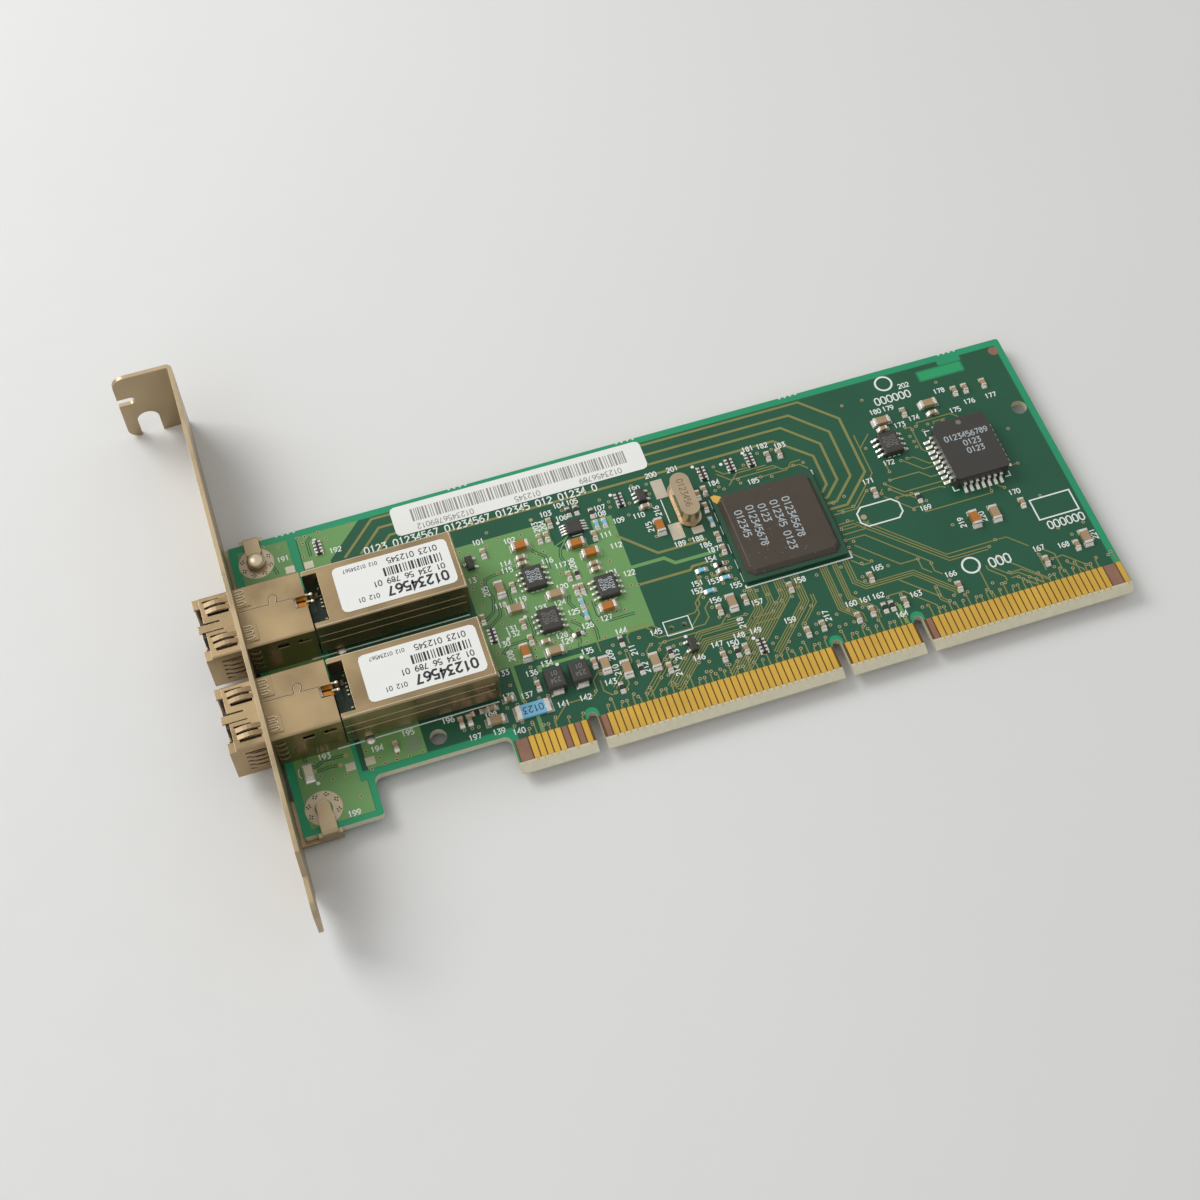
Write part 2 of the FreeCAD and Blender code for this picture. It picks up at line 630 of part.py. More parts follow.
def build_cage(number, middle):
    """Build one cage: a sheet tube with latch notches, slots and a rear notch."""
    body = new_body("transceiver_cage_%d" % number)
    skin = size["cage_sheet"]
    half = size["cage_width"] / 2
    height = size["cage_height"]
    front = along(-size["cage_front"])
    rear = along(-size["cage_rear"])
    outer = rectangle(middle - half, middle + half, 0, height)
    extrude(body, "Pad", "yz", front, rear, [outer])
    edges = corner_middles([(middle - half, height), (middle + half, height)], "yz", front, rear)
    round_edges(body, skin * 1.2, edges)
    inner = rectangle(middle - half + skin, middle + half - skin, skin, height - skin)
    extrude(body, "Pocket", "yz", front, rear, [inner])

    lug = size["centre_lug"] / 2
    panel_front = front + size["panel_setback"]
    notches = [rectangle(front - 1, panel_front, middle + lug, middle + half + 1)]
    notches.append(rectangle(front - 1, panel_front, middle - half - 1, middle - lug))
    flex = size["flex_notch"] / 2
    notches.append(rectangle(rear - size["flex_notch_depth"], rear + 1, middle - flex, middle + flex))
    slot = size["cage_slot"] / 2
    extrude(body, "Pocket", "xy", height - skin, height, notches)
    slots = []
    for place, start, end, width in TOP_SLOTS:
        low = middle + (place - width / 2)
        slots.append(rectangle(front + start, front + end, low, low + width))
    for edge, width, length in LUG_SLITS:
        low = middle + (edge - width)
        slots.append(rectangle(front - 1, front + length, low, low + width))
    extrude(body, "Pocket", "xy", height - skin, height, slots)

    lug_low = height - skin - size["corner_lug_height"]
    lug_rear = front + size["corner_lug_length"]
    wall = half - skin
    reach = size["corner_lug"]
    lugs = [rectangle(front, lug_rear, middle + wall - reach, middle + half)]
    lugs.append(rectangle(front, lug_rear, middle - half, middle - wall + reach))
    extrude(body, "Pad", "xy", lug_low, height - skin, lugs)

    slot_front = plate_outside - size["cage_slot_length"] - 0.5
    slot_rear = plate_outside - 0.5
    gaps = []
    for place in SIDE_SLOT_HEIGHTS:
        gaps.append(rectangle(slot_front, slot_rear, place - slot, place + slot))
    extrude(body, "Pocket", "xz", middle - half, middle - half + skin, gaps)
    extrude(body, "Pocket", "xz", middle + half - skin, middle + half, gaps)

    inside = plate_inside + 0.3
    seam = [rectangle(rear - 7.3, rear - 5.2, 6.8, 7.9), rectangle(rear - 3.4, rear - 1.1, 6.8, 7.9)]
    extrude(body, "Pocket", "xz", middle - half, middle - half + skin, seam)
    pads = []
    for low, high in ((2.2, 6.3), (-5.5, -1.8)):
        pads.append(rectangle(inside, inside + 2.3, middle + low, middle + high))
    extrude(body, "Pad", "xy", height, height + 0.25, pads)


def build_receptacle(number, middle):
    """Build the moulded receptacle with its two ports, filling the cage's front."""
    body = new_body("transceiver_receptacle_%d" % number)
    skin = size["cage_sheet"]
    half = size["cage_width"] / 2 - skin
    top = size["cage_height"] - skin
    front = along(-size["cage_front"]) + size["receptacle_setback"]
    rear = along(-size["receptacle_rear"])
    extrude(body, "Pad", "yz", front, rear, [rectangle(middle - half, middle + half, skin, top)])
    port = size["port_pitch"] / 2
    wide = size["port_width"] / 2
    latch = size["latch_width"] / 2
    low = size["port_bottom"]
    high = low + size["port_height"]
    bores = []
    channels = []
    for place in (middle - port, middle + port):
        bores.append(rectangle(place - wide, place + wide, low, high))
        channels.append(rectangle(place - latch, place + latch, high - 0.5, top))
    extrude(body, "Pocket", "yz", front, front + size["port_depth"], bores)
    extrude(body, "Pocket", "yz", front, front + size["port_depth"] * 0.6, channels)
    lug_low = top - size["corner_lug_height"]
    lug_rear = along(-size["cage_front"]) + size["corner_lug_length"]
    reach = size["corner_lug"]
    seats = [rectangle(front, lug_rear, middle + half - reach, middle + half)]
    seats.append(rectangle(front, lug_rear, middle - half, middle - half + reach))
    extrude(body, "Pocket", "xy", lug_low, top, seats)
    return front + size["port_depth"]


FERRULE_BORE = 1.3
FERRULE_DEPTH = 2.5
BARREL_LENGTH = 3.2
NECK_LENGTH = 3.4
HEADER_THICKNESS = 0.5
HEADER_WIDTH = 11.2


def build_optics(number, middle, port_end):
    """Build the ferrule sleeves in the ports and the optical barrels behind them."""
    centre_z = (size["port_bottom"] + size["port_height"] / 2).value
    port = size["port_pitch"].value / 2
    start = port_end.value - size["sleeve_length"].value
    sleeves = []
    barrels = []
    rear = along(-size["receptacle_rear"]).value
    radius = size["barrel_diameter"].value / 2
    length = size["sleeve_length"].value
    for place in (middle.value - port, middle.value + port):
        sleeve = level_prism(place, centre_z, size["sleeve_diameter"].value / 2, start, start + length, 10)
        bore = level_prism(place, centre_z, FERRULE_BORE / 2, start, start + FERRULE_DEPTH, 8)
        sleeves.append(sleeve.cut(bore))
        shoulder = rear + BARREL_LENGTH
        barrel = level_prism(place, centre_z, radius, rear, shoulder, 8)
        neck = level_prism(place, centre_z, radius * 0.75, shoulder, shoulder + NECK_LENGTH, 6)
        barrels.append(barrel.fuse(neck))
    group("ferrule_sleeves_%d" % number, sleeves)
    group("optical_barrels_%d" % number, barrels)
    header_front = rear + BARREL_LENGTH + NECK_LENGTH
    header_rear = header_front + HEADER_THICKNESS
    half = HEADER_WIDTH / 2
    header = solid_box(header_front, header_rear, middle.value - half, middle.value + half, 1.6, 9.2)
    group("optical_header_%d" % number, [header])
    return header_rear


def build_can(number, middle):
    """Build the rear can: roof, side walls with rims, and the rear wall."""
    body = new_body("transceiver_can_%d" % number)
    skin = size["cage_sheet"]
    half = size["can_width"] / 2
    height = size["cage_height"]
    low = size["can_bottom"]
    side_front = along(-size["can_side_front"])
    top_front = along(-size["can_top_front"])
    rear = along(-size["can_rear"])
    extrude(body, "Pad", "yz", side_front, rear, [rectangle(middle - half, middle + half, low, height)])
    edges = corner_middles([(middle - half, height), (middle + half, height)], "yz", side_front, rear)
    edges += [(rear, middle, height)]
    round_edges(body, 0.45, edges)
    hollow = rectangle(middle - half + skin, middle + half - skin, low, height - skin)
    extrude(body, "Pocket", "yz", side_front, rear - skin, [hollow])
    rim = size["can_rim"]
    mouth = rectangle(side_front, top_front, middle - half + rim, middle + half - rim)
    extrude(body, "Pocket", "xy", height - skin, height, [mouth])


def build_base(number, middle):
    """Build the moulded base that stands on the board and carries the can."""
    body = new_body("transceiver_base_%d" % number)
    half = size["can_width"] / 2 - size["cage_sheet"]
    front = along(-size["can_side_front"])
    rear = along(-size["can_rear"]) - size["cage_sheet"]
    extrude(body, "Pad", "xy", 0, size["base_top"], [rectangle(front, rear, middle - half, middle + half)])
    inset = 0.5
    for side, far in ((middle - half, middle - half + inset), (middle + half - inset, middle + half)):
        extrude(body, "Pocket", "xy", 0, 0.8, [rectangle(front, rear, side, far)])


FLEX_THICKNESS = 0.2
PINS_PER_ROW = 5
PIN_PITCH = 1.78


def build_inner_board(number, middle, header_end):
    """Build the small board in the can, its chips, the flexible strip and its leads."""
    half = (size["can_width"] / 2 - size["cage_sheet"]).value
    centre = middle.value
    front = along(-size["can_side_front"]).value
    rear = (along(-size["can_rear"]) - size["cage_sheet"]).value
    bottom = size["base_top"].value
    top = bottom + size["inner_board"].value
    board = solid_box(front, rear, centre - half, centre + half, bottom, top)
    group("transceiver_board_%d" % number, [board])
    chips = []
    for side in (-3.6, 3.4):
        for step in (0.4, 1.5):
            chips.append(centred_box(front + step + 0.3, centre + side, 0.6, 1.1, top, top + 0.5))
    chips.append(centred_box(front + 9.0, centre, 5.0, 5.0, top, top + 1.2))
    group("transceiver_chips_%d" % number, chips)
    thick = FLEX_THICKNESS
    path = [(header_end, 8.4), (header_end + 0.9, 8.4), (header_end + 2.7, top), (header_end + 4.4, top)]
    path += [(header_end + 4.4, top + thick), (header_end + 2.8, top + thick)]
    path += [(header_end + 1.0, 8.4 + thick), (header_end, 8.4 + thick)]
    group("flex_strip_%d" % number, [strip(path, centre - 0.9, 1.8)])
    tails = []
    first = along(-24.0).value
    for row in (-4.4, 4.4):
        for pin in range(PINS_PER_ROW):
            x = first + pin * PIN_PITCH
            tails.append(prism(x, centre + row, 0.35, board_bottom.value - 1.1, board_bottom.value, 4))
    group("transceiver_pin_tails_%d" % number, tails)


def build_label(number, middle):
    """Lay the paper label on the can."""
    height = size["cage_height"].value
    x = along(-12.8).value
    label = rounded_plate(x, middle.value, 22.2, 10.1, 1.0, height, height + size["paper"].value)
    group("transceiver_label_%d" % number, [label])


def build_transceiver(number, place):
    """Build one transceiver with all its pieces."""
    middle = above(place)
    build_cage(number, middle)
    port_end = build_receptacle(number, middle)
    header_end = build_optics(number, middle, port_end)
    build_can(number, middle)
    build_base(number, middle)
    build_inner_board(number, middle, header_end)
    build_label(number, middle)


# ---------------------------------------------------------------- controller and memory

def build_controller():
    """Build the controller: ring of solder balls, base and mould cap."""
    x = along(size["controller_u"])
    y = above(size["controller_v"])
    ball = size["controller_ball"]
    base_top = ball + size["controller_base"]
    half = size["controller_side"] / 2
    base = new_body("controller_base")
    extrude(base, "Pad", "xy", ball, base_top, [rectangle(x - half, x + half, y - half, y + half)])
    cap = new_body("controller_cap")
    foot = size["mould_foot"] / 2
    cut = foot - size["mould_chamfer"]
    octagon = [(x - cut, y - foot), (x + cut, y - foot), (x + foot, y - cut), (x + foot, y + cut)]
    octagon += [(x + cut, y + foot), (x - cut, y + foot), (x - foot, y + cut), (x - foot, y - cut)]
    pad = extrude(cap, "Pad", "xy", base_top, base_top + size["mould_height"], [octagon])
    slope = (size["mould_foot"] - size["mould_top"]) / (size["mould_height"] * 2)
    pad.TaperAngle = -math.degrees(math.atan(slope.value))
    pad.setExpression("TaperAngle", "-atan(%s)" % slope.text)
    doc.recompute()
    balls = []
    step = 1.27
    count = 16
    for row in range(count):
        for column in range(count):
            if 0 < row < count - 1 and 0 < column < count - 1:
                continue
            ball_x = x.value + (column - (count - 1) / 2) * step
            ball_y = y.value + (row - (count - 1) / 2) * step
            balls.append(prism(ball_x, ball_y, 0.34, 0.0, ball.value, 4))
    balls.append(centred_box(x.value, y.value, 15.0, 15.0, 0.0, ball.value))
    group("controller_balls", balls)


def build_flash():
    """Build the memory chip and its folded leads."""
    x = along(size["flash_u"])
    y = above(size["flash_v"])
    half = size["flash_width"] / 2
    long_half = size["flash_length"] / 2
    body = new_body("flash_memory")
    outline = rectangle(x - half, x + half, y - long_half, y + long_half)
    extrude(body, "Pad", "xy", size["flash_bottom"], size["flash_top"], [outline])
    corners = corner_middles(outline, "xy", size["flash_bottom"], size["flash_top"])
    round_edges(body, 0.5, corners[:3], "Chamfer")
    round_edges(body, 1.2, corners[3:], "Chamfer")
    leads = []
    for count, turns, reach in ((9, 0, half.value), (9, 2, half.value), (7, 1, long_half.value), (7, 3, long_half.value)):
        for number in range(count):
            side = (number - (count - 1) / 2) * 1.27
            outline = [(reach, 1.6), (reach + 0.5, 1.5), (reach + 0.4, 0.0)]
            outline += [(reach - 0.6, 0.0), (reach - 0.6, 0.25), (reach, 0.25)]
            lead = strip(outline, side - 0.3, 0.6)
            leads.append(turned(lead, x.value, y.value, turns))
    group("flash_leads", leads)


# ---------------------------------------------------------------- small parts

# Each kind of small chip: width, length and height of the body, reach over the leads,
# width of a lead, places of the leads on the left side and on the right side.
CHIP_KINDS = {
    "eight_lead": (3.9, 4.9, 1.5, 6.0, 0.42, [-1.905, -0.635, 0.635, 1.905], [-1.905, -0.635, 0.635, 1.905]),
    "fine_eight_lead": (3.0, 3.0, 1.0, 4.9, 0.3, [-0.975, -0.325, 0.325, 0.975], [-0.975, -0.325, 0.325, 0.975]),
    "two_and_one": (1.4, 2.9, 1.1, 2.5, 0.42, [-0.95, 0.95], [0.0]),
    "one_and_two": (1.4, 2.9, 1.1, 2.5, 0.42, [0.0], [-0.95, 0.95]),
    "three_and_two": (1.6, 2.9, 1.1, 2.8, 0.4, [-0.95, 0.0, 0.95], [-0.95, 0.95]),
}

# Each small chip: place from contact 1, place above the contacts, kind.
SMALL_CHIPS = [
    (89.8, 39.5, "eight_lead"),
    (13.0, 32.0, "eight_lead"),
    (13.1, 22.1, "eight_lead"),
    (25.7, 25.75, "eight_lead"),
    (23.8, 40.9, "fine_eight_lead"),
    (37.0, 8.5, "two_and_one"),
    (2.2, 39.3, "one_and_two"),
    (38.6, 43.7, "three_and_two"),
]


def gull_lead(reach, body_half, height, width):
    """Return one bent lead that leaves a body's side and ends flat on the board."""
    thick = 0.18
    mid = height / 2
    bend = (reach + body_half) / 2 - 0.1
    points = [(body_half, mid), (bend, mid), (reach, thick), (reach, 0.0)]
    points += [(bend, 0.0), (body_half, mid - thick)]
    return strip(points, -width / 2, width)


def build_small_chips():
    """Build the bodies and the leads of the small chips."""
    bodies = []
    leads = []
    for u, v, kind in SMALL_CHIPS:
        width, length, height, span, lead_width, left, right = CHIP_KINDS[kind]
        x = along(u).value
        y = above(v).value
        block = centred_box(x, y, width, length, 0.12, height)
        top_edges = [edge for edge in block.Edges if min(p.Z for p in edge.Vertexes) > height - 0.01]
        bodies.append(block.makeChamfer(0.2, top_edges))
        for places, turns in ((left, 2), (right, 0)):
            for place in places:
                lead = gull_lead(span / 2, width / 2, height, lead_width)
                lead.translate(FreeCAD.Vector(0, place, 0))
                leads.append(turned(lead, x, y, turns))
    group("small_chips", bodies)
    group("small_chip_leads", leads)


# Capacitors and resistors that lie along the board and across it: place from
# contact 1 and place above the contacts.
LARGE_BROWN = {
    "along": [
        (12.6, 40), (23.1, 37.1), (25.1, 34.2), (24.5, 21.5),
    ],
    "across": [
        (6.7, 17), (39.8, 35.7), (98.6, 17.8),
    ],
}
LARGE_TAN = {
    "along": [
        (7.8, 26.7), (15.9, 27.4), (12.1, 15.5), (-2.6, 4.9), (90.4, 45.4), (101, 46.5),
    ],
    "across": [
        (6.1, 31.9), (20.1, 9.8), (23.7, 7.7), (29.2, 7.5), (47.2, 15), (102.9, 17.8), (117.2, 7),
    ],
}
SMALL_CAPACITORS = {
    "along": [
        (-2.7, 7.6), (0.9, 8.4), (11.1, 18), (12, 37.5), (11.9, 36), (25, 31.7), (25, 30.3),
        (38.7, 41.1), (48, 22.3), (90, 43.6), (101, 44.1),
    ],
    "across": [
        (-21.5, 5.8), (-8.8, 6.7), (-7.2, 6.7), (6.9, 9.5), (18.3, 10.8), (31.4, 5.4), (8.5, 19.4),
        (8.1, 23.2), (1.1, 26.5), (5.35, 40.8), (16.7, 40.6), (18.2, 40.6), (19.6, 43.5),
        (27.1, 37.9), (8.6, 31.6), (19.6, 30.6), (21.1, 27.2), (20, 27.2), (49.3, 40.4), (50.9, 41),
        (49.8, 37.2), (49.8, 30), (49.8, 26.9), (65.7, 44.8), (68.1, 44.8), (44.5, 14.3),
        (49.9, 14.9), (59, 14.7), (41.8, 4.4), (46.3, 4.7), (58.6, 4.4), (61.8, 4.8), (68.8, 4.3),
        (71.8, 4.8), (74.4, 11.9), (78.5, 4.7), (89.6, 4.6), (107.8, 4.6), (114.9, 6), (109, 18.4),
        (82.6, 29.9), (107.4, 47.9), (109.7, 47.9), (113.7, 47.9), (95.5, 46.2),
    ],
}
DARK_RESISTORS = {
    "along": [
        (-5.5, 7.7), (17.4, 17.7), (48, 23.9),
    ],
    "across": [
        (24.6, 13.7), (26.3, 6.8), (32.6, 8.5), (21.6, 4.2), (23.9, 44.8), (25.5, 44.8),
        (28.2, 43.1), (21.2, 30.6), (44.6, 4.6), (74.4, 4.7), (75.9, 4.7), (90.4, 26),
    ],
}
BLUE_RESISTORS = {
    "along": [
        (44.2, 23.7), (48.1, 20.7), (44.2, 18.8),
    ],
    "across": [
        (20.1, 24.1), (20.1, 21.4), (28.3, 40.2), (29.9, 40.2), (49.8, 33.7),
    ],
}
RESISTOR_ARRAYS = [(-24.8, 52.4), (34.3, 44.3), (51.9, 45.0), (57.8, 45.1), (62.0, 45.1),
                   (1.9, 22.5), (49.4, 4.3)]


def end_capped(places, length, width, height, cap, gap):
    """Return the bodies and the end caps of two-ended parts.

    places: where the parts lie along the board and across it.
    length, width, height: the part's size.
    cap: how long each end cap is.
    gap: how much lower and narrower the body is than its caps.
    """
    bodies = []
    ends = []
    for turns, way in enumerate(("along", "across")):
        for u, v in places[way]:
            x = along(u).value
            y = above(v).value
            body = centred_box(0, 0, length - 2 * cap, width - 2 * gap, 0.0, height - gap)
            bodies.append(turned(body, x, y, turns))
            for side in (-1, 1):
                end = centred_box(side * (length - cap) / 2, 0, cap, width, 0.0, height)
                ends.append(turned(end, x, y, turns))
    return bodies, ends


def build_small_parts():
    """Build the capacitors, resistors and resistor arrays."""
    brown, brown_ends = end_capped(LARGE_BROWN, 3.2, 1.6, 1.25, 0.5, 0.03)
    tan, tan_ends = end_capped(LARGE_TAN, 3.2, 1.6, 1.0, 0.5, 0.03)
    small, small_ends = end_capped(SMALL_CAPACITORS, 1.65, 0.85, 0.8, 0.35, 0.02)
    dark, dark_ends = end_capped(DARK_RESISTORS, 1.6, 0.8, 0.45, 0.3, 0.02)
    blue, blue_ends = end_capped(BLUE_RESISTORS, 1.6, 0.8, 0.45, 0.3, 0.02)
    group("large_brown_capacitors", brown)
    group("large_tan_capacitors", tan)
    group("large_capacitor_ends", brown_ends + tan_ends)
    group("small_capacitors", small)
    group("small_capacitor_ends", small_ends)
    group("dark_resistors", dark)
    group("blue_resistors", blue)
    group("resistor_ends", dark_ends + blue_ends)
    arrays = []
    array_ends = []
    for u, v in RESISTOR_ARRAYS:
        x = along(u).value
        y = above(v).value
        arrays.append(centred_box(x, y, 1.1, 3.2, 0.0, 0.5))
        for number in range(4):
            side = (number - 1.5) * 0.8
            for way in (-1, 1):
                array_ends.append(centred_box(x + way * 0.68, y + side, 0.26, 0.45, 0.0, 0.5))
    group("resistor_arrays", arrays)
    group("resistor_array_ends", array_ends)
    shunt_x = along(4.6).value
    shunt_y = above(5.0).value
    group("sense_resistor", [centred_box(shunt_x, shunt_y, 4.6, 2.8, 0.0, 0.6)])
    caps = [centred_box(shunt_x + side * 2.75, shunt_y, 0.9, 2.8, 0.0, 0.62) for side in (-1, 1)]
    group("sense_resistor_ends", caps)


def build_diodes():
    """Build the two diodes by the contacts and their flat terminals."""
    bodies = []
    terminals = []
    for u in (10.1, 14.95):
        x = along(u).value
        y = above(9.2).value
        block = centred_box(x, y, 3.6, 4.3, 0.3, 2.3)
        top_edges = [edge for edge in block.Edges if min(p.Z for p in edge.Vertexes) > 2.29]
        bodies.append(block.makeChamfer(0.25, top_edges))
        for turns in (1, 3):
            outline = [(2.15, 1.2), (2.4, 1.2), (2.4, 0.25), (2.75, 0.25), (2.75, 0.0)]
            outline += [(1.4, 0.0), (1.4, 0.2), (2.15, 0.2)]
            terminals.append(turned(strip(outline, -1.05, 2.1), x, y, turns))
    group("diodes", bodies)
    group("diode_terminals", terminals)


def build_crystal():
    """Build the crystal: a drawn can on a thin flange, and its soldered lead pad."""
    x = along(46.1)
    y = above(39.2)
    flange = size["crystal_flange"]
    can = new_body("crystal")
    for grow, low, high in ((flange, 0.2, 0.6), (flange * 0, 0.6, size["crystal_top"])):
        half = size["crystal_width"] / 2 + grow
        straight = (size["crystal_length"] - size["crystal_width"]) / 2
        extrude(can, "Pad", "xy", low, high, [rectangle(x - half, x + half, y - straight, y + straight)])
        ends = [(x, y - straight, half * 2)]
        extrude(can, "Pad", "xy", low, high, circles=ends)
        extrude(can, "Pad", "xy", low, high, circles=[(x, y + straight, half * 2)])
    foot = centred_box(x.value, y.value, 4.0, 9.0, 0.0, 0.2)
    lead = centred_box(x.value + 0.6, above(32.8).value, 2.3, 1.6, 0.0, 0.12)
    group("crystal_pads", [foot, lead])


def build_lights():
    """Build the two port lights beside the bracket."""
    lenses = []
    bases = []
    for v in LIGHT_PLACES:
        x = along(-38.0).value
        y = above(v).value
        bases.append(centred_box(x, y, 1.5, 3.2, 0.0, 0.4))
        lenses.append(centred_box(x, y, 1.2, 1.8, 0.4, 1.0))
    group("port_lights", lenses)
    group("port_light_bases", bases)


def build_board_label():
    """Lay the paper label along the board's top edge."""
    left = along(-size["label_before"]).value
    right = along(size["label_after"]).value
    low = above(size["label_low"]).value
    high = above(size["label_high"]).value
    middle = ((left + right) / 2, (low + high) / 2)
    group("board_label", [rounded_plate(*middle, right - left, high - low, 1.0, 0.0, size["paper"].value)])


# ---------------------------------------------------------------- build and export

def check_and_export():
    """Check every object, then write each node to its own file."""
    for item in doc.Objects:
        if "Invalid" in item.State or "Error" in item.State:
            raise ValueError("%s is %s" % (item.Label, item.State))
    os.makedirs("parts", exist_ok=True)
    for node in nodes:
        shape = node.Shape
        if shape.isNull() or not shape.isValid() or not shape.Solids:
            raise ValueError("%s has no valid solid" % node.Label)
        shape.exportStep("parts/%s.step" % node.Label)
        print("%-28s solids %3d volume %10.3f" % (node.Label, len(shape.Solids), shape.Volume))


build_board()
build_contacts()
build_bracket()
build_transceiver(1, size["port_1_v"])
build_transceiver(2, size["port_2_v"])
build_controller()
build_flash()
build_small_chips()
build_small_parts()
build_diodes()
build_crystal()
build_lights()
build_board_label()
doc.recompute()
check_and_export()
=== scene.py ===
"""Dress a two port fibre network card over its construction model."""

import logging
import math
from dataclasses import dataclass, field
from enum import Enum
from functools import cache

import bmesh
import bpy
from mathutils import Euler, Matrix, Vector


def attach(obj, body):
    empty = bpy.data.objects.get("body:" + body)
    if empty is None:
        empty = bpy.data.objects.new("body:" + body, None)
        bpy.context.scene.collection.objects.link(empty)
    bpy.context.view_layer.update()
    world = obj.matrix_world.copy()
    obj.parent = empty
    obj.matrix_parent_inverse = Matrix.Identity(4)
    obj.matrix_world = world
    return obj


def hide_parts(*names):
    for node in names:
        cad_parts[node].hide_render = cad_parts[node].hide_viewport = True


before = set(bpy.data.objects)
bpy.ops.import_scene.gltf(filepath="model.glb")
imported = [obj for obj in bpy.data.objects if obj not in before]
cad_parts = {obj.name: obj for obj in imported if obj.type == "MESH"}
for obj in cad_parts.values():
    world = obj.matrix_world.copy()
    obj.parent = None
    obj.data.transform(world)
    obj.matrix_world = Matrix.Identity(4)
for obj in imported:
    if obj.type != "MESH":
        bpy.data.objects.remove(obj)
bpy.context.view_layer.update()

MM = 0.001
MM_PER_METRE = 1000
CONTACT_STEP = 1.27
FIRST_CONTACT_X = -11.5 * CONTACT_STEP
CONTACT_TOP_Y = 6.7
BOARD_THICKNESS = 1.57
TRANSCEIVER_TOP = 9.8
PORT_LINES = (35.3, 15.5)
BUMP_DISTANCE = 0.00002
INK = 0.012

Mesh = bmesh.types.BMesh
Material = bpy.types.Material
Tree = bpy.types.NodeTree
Node = bpy.types.Node
Socket = bpy.types.NodeSocket
Place = tuple[float, float]
Triple = tuple[float, float, float]
Colour = tuple[float, float, float]
Box = tuple[Vector, Vector]
Value = float | tuple[float, ...] | Socket
Wear = dict[str, Material]
log = logging.getLogger("network_card")


def paint(red: int, green: int, blue: int) -> Colour:
    """Turn a display colour of 0 to 255 into the linear colour that shaders use."""
    return tuple((value / 255.0) ** 2.2 for value in (red, green, blue))


DUST_COLOUR = paint(120, 114, 106)
DUST_COVER = 0.45
COAT_ROUGHNESS = 0.12
# How much paler rounded edges are painted: a painted highlight where light catches them.
EDGE_HIGHLIGHT_GAIN = 1.9
EDGE_HIGHLIGHT_LIFT = 0.05


def spot(u: float, v: float, height: float) -> Vector:
    """Turn a place on the board into metres.

    Args:
        u: Millimetres along the card from the first contact.
        v: Millimetres above the upper ends of the contacts.
        height: Millimetres above the component face.

    Returns:
        The point in the row frame.
    """
    return Vector(((u + FIRST_CONTACT_X) * MM, (v + CONTACT_TOP_Y) * MM, height * MM))


# ------------------------------------------------------------------ shader nodes


def feed(tree: Tree, node: Node, inputs: dict[str | int, Value]) -> None:
    """Feed a node's inputs, each with a plain value or from another node's output.

    Args:
        tree: The tree that holds the nodes.
        node: The node to feed.
        inputs: What each input is given, by its number or by its name with _ for a space.
    """
    for key, value in inputs.items():
        socket = node.inputs[key.replace("_", " ") if isinstance(key, str) else key]
        if isinstance(value, Socket):
            tree.links.new(value, socket)
        else:
            socket.default_value = value


def add_node(tree: Tree, kind: str, **inputs: Value) -> Node:
    """Add a shader node and feed its inputs.

    Args:
        tree: The tree it joins.
        kind: The node's type, without ShaderNode in front.
        **inputs: What each input is given.

    Returns:
        The new node.
    """
    node = tree.nodes.new("ShaderNode" + kind)
    feed(tree, node, inputs)
    return node


def placed(tree: Tree, group: Tree, **inputs: Value) -> Node:
    """Put a shared group into a material and feed its named inputs.

    Args:
        tree: The material's node tree.
        group: The shared group.
        **inputs: What each input is given.

    Returns:
        The group node.
    """
    node = tree.nodes.new("ShaderNodeGroup")
    node.node_tree = group
    feed(tree, node, inputs)
    return node


def math_node(tree: Tree, operation: str, first: Value, second: Value = 0.0) -> Socket:
    """Add a Math node.

    Args:
        tree: The tree it joins.
        operation: What it works out.
        first: Its first number.
        second: Its second number.

    Returns:
        The result.
    """
    node = tree.nodes.new("ShaderNodeMath")
    node.operation = operation
    feed(tree, node, {0: first, 1: second})
    return node.outputs[0]


def vector_node(
    tree: Tree, operation: str, first: Value, second: Value = (0.0, 0.0, 0.0)
) -> Socket:
    """Add a Vector Math node.

    Args:
        tree: The tree it joins.
        operation: What it works out.
        first: Its first vector.
        second: Its second vector, or the number that SCALE multiplies by.

    Returns:
        The result, which is a number for DOT_PRODUCT and LENGTH.
    """
    node = tree.nodes.new("ShaderNodeVectorMath")
    node.operation = operation
    feed(tree, node, {0: first, "Scale" if operation == "SCALE" else 1: second})
    return node.outputs["Value" if operation in ("DOT_PRODUCT", "LENGTH") else "Vector"]


def blend(tree: Tree, under: Value, over: Value, mask: Value) -> Socket:
    """Lay one colour over another where the mask is set.

    Args:
        tree: The tree that the mix joins.
        under: The lower colour.
        over: The upper colour.
        mask: Where the upper colour lies.

    Returns:
        The mixed colour.
    """
    mix = tree.nodes.new("ShaderNodeMix")
    mix.data_type = "RGBA"
    feed(tree, mix, {"Factor": mask, "A": under, "B": over})
    return mix.outputs["Result"]


def object_place(tree: Tree) -> Socket:
    """Return the place on the object, for a texture to lie by."""
    return tree.nodes.new("ShaderNodeTexCoord").outputs["Object"]


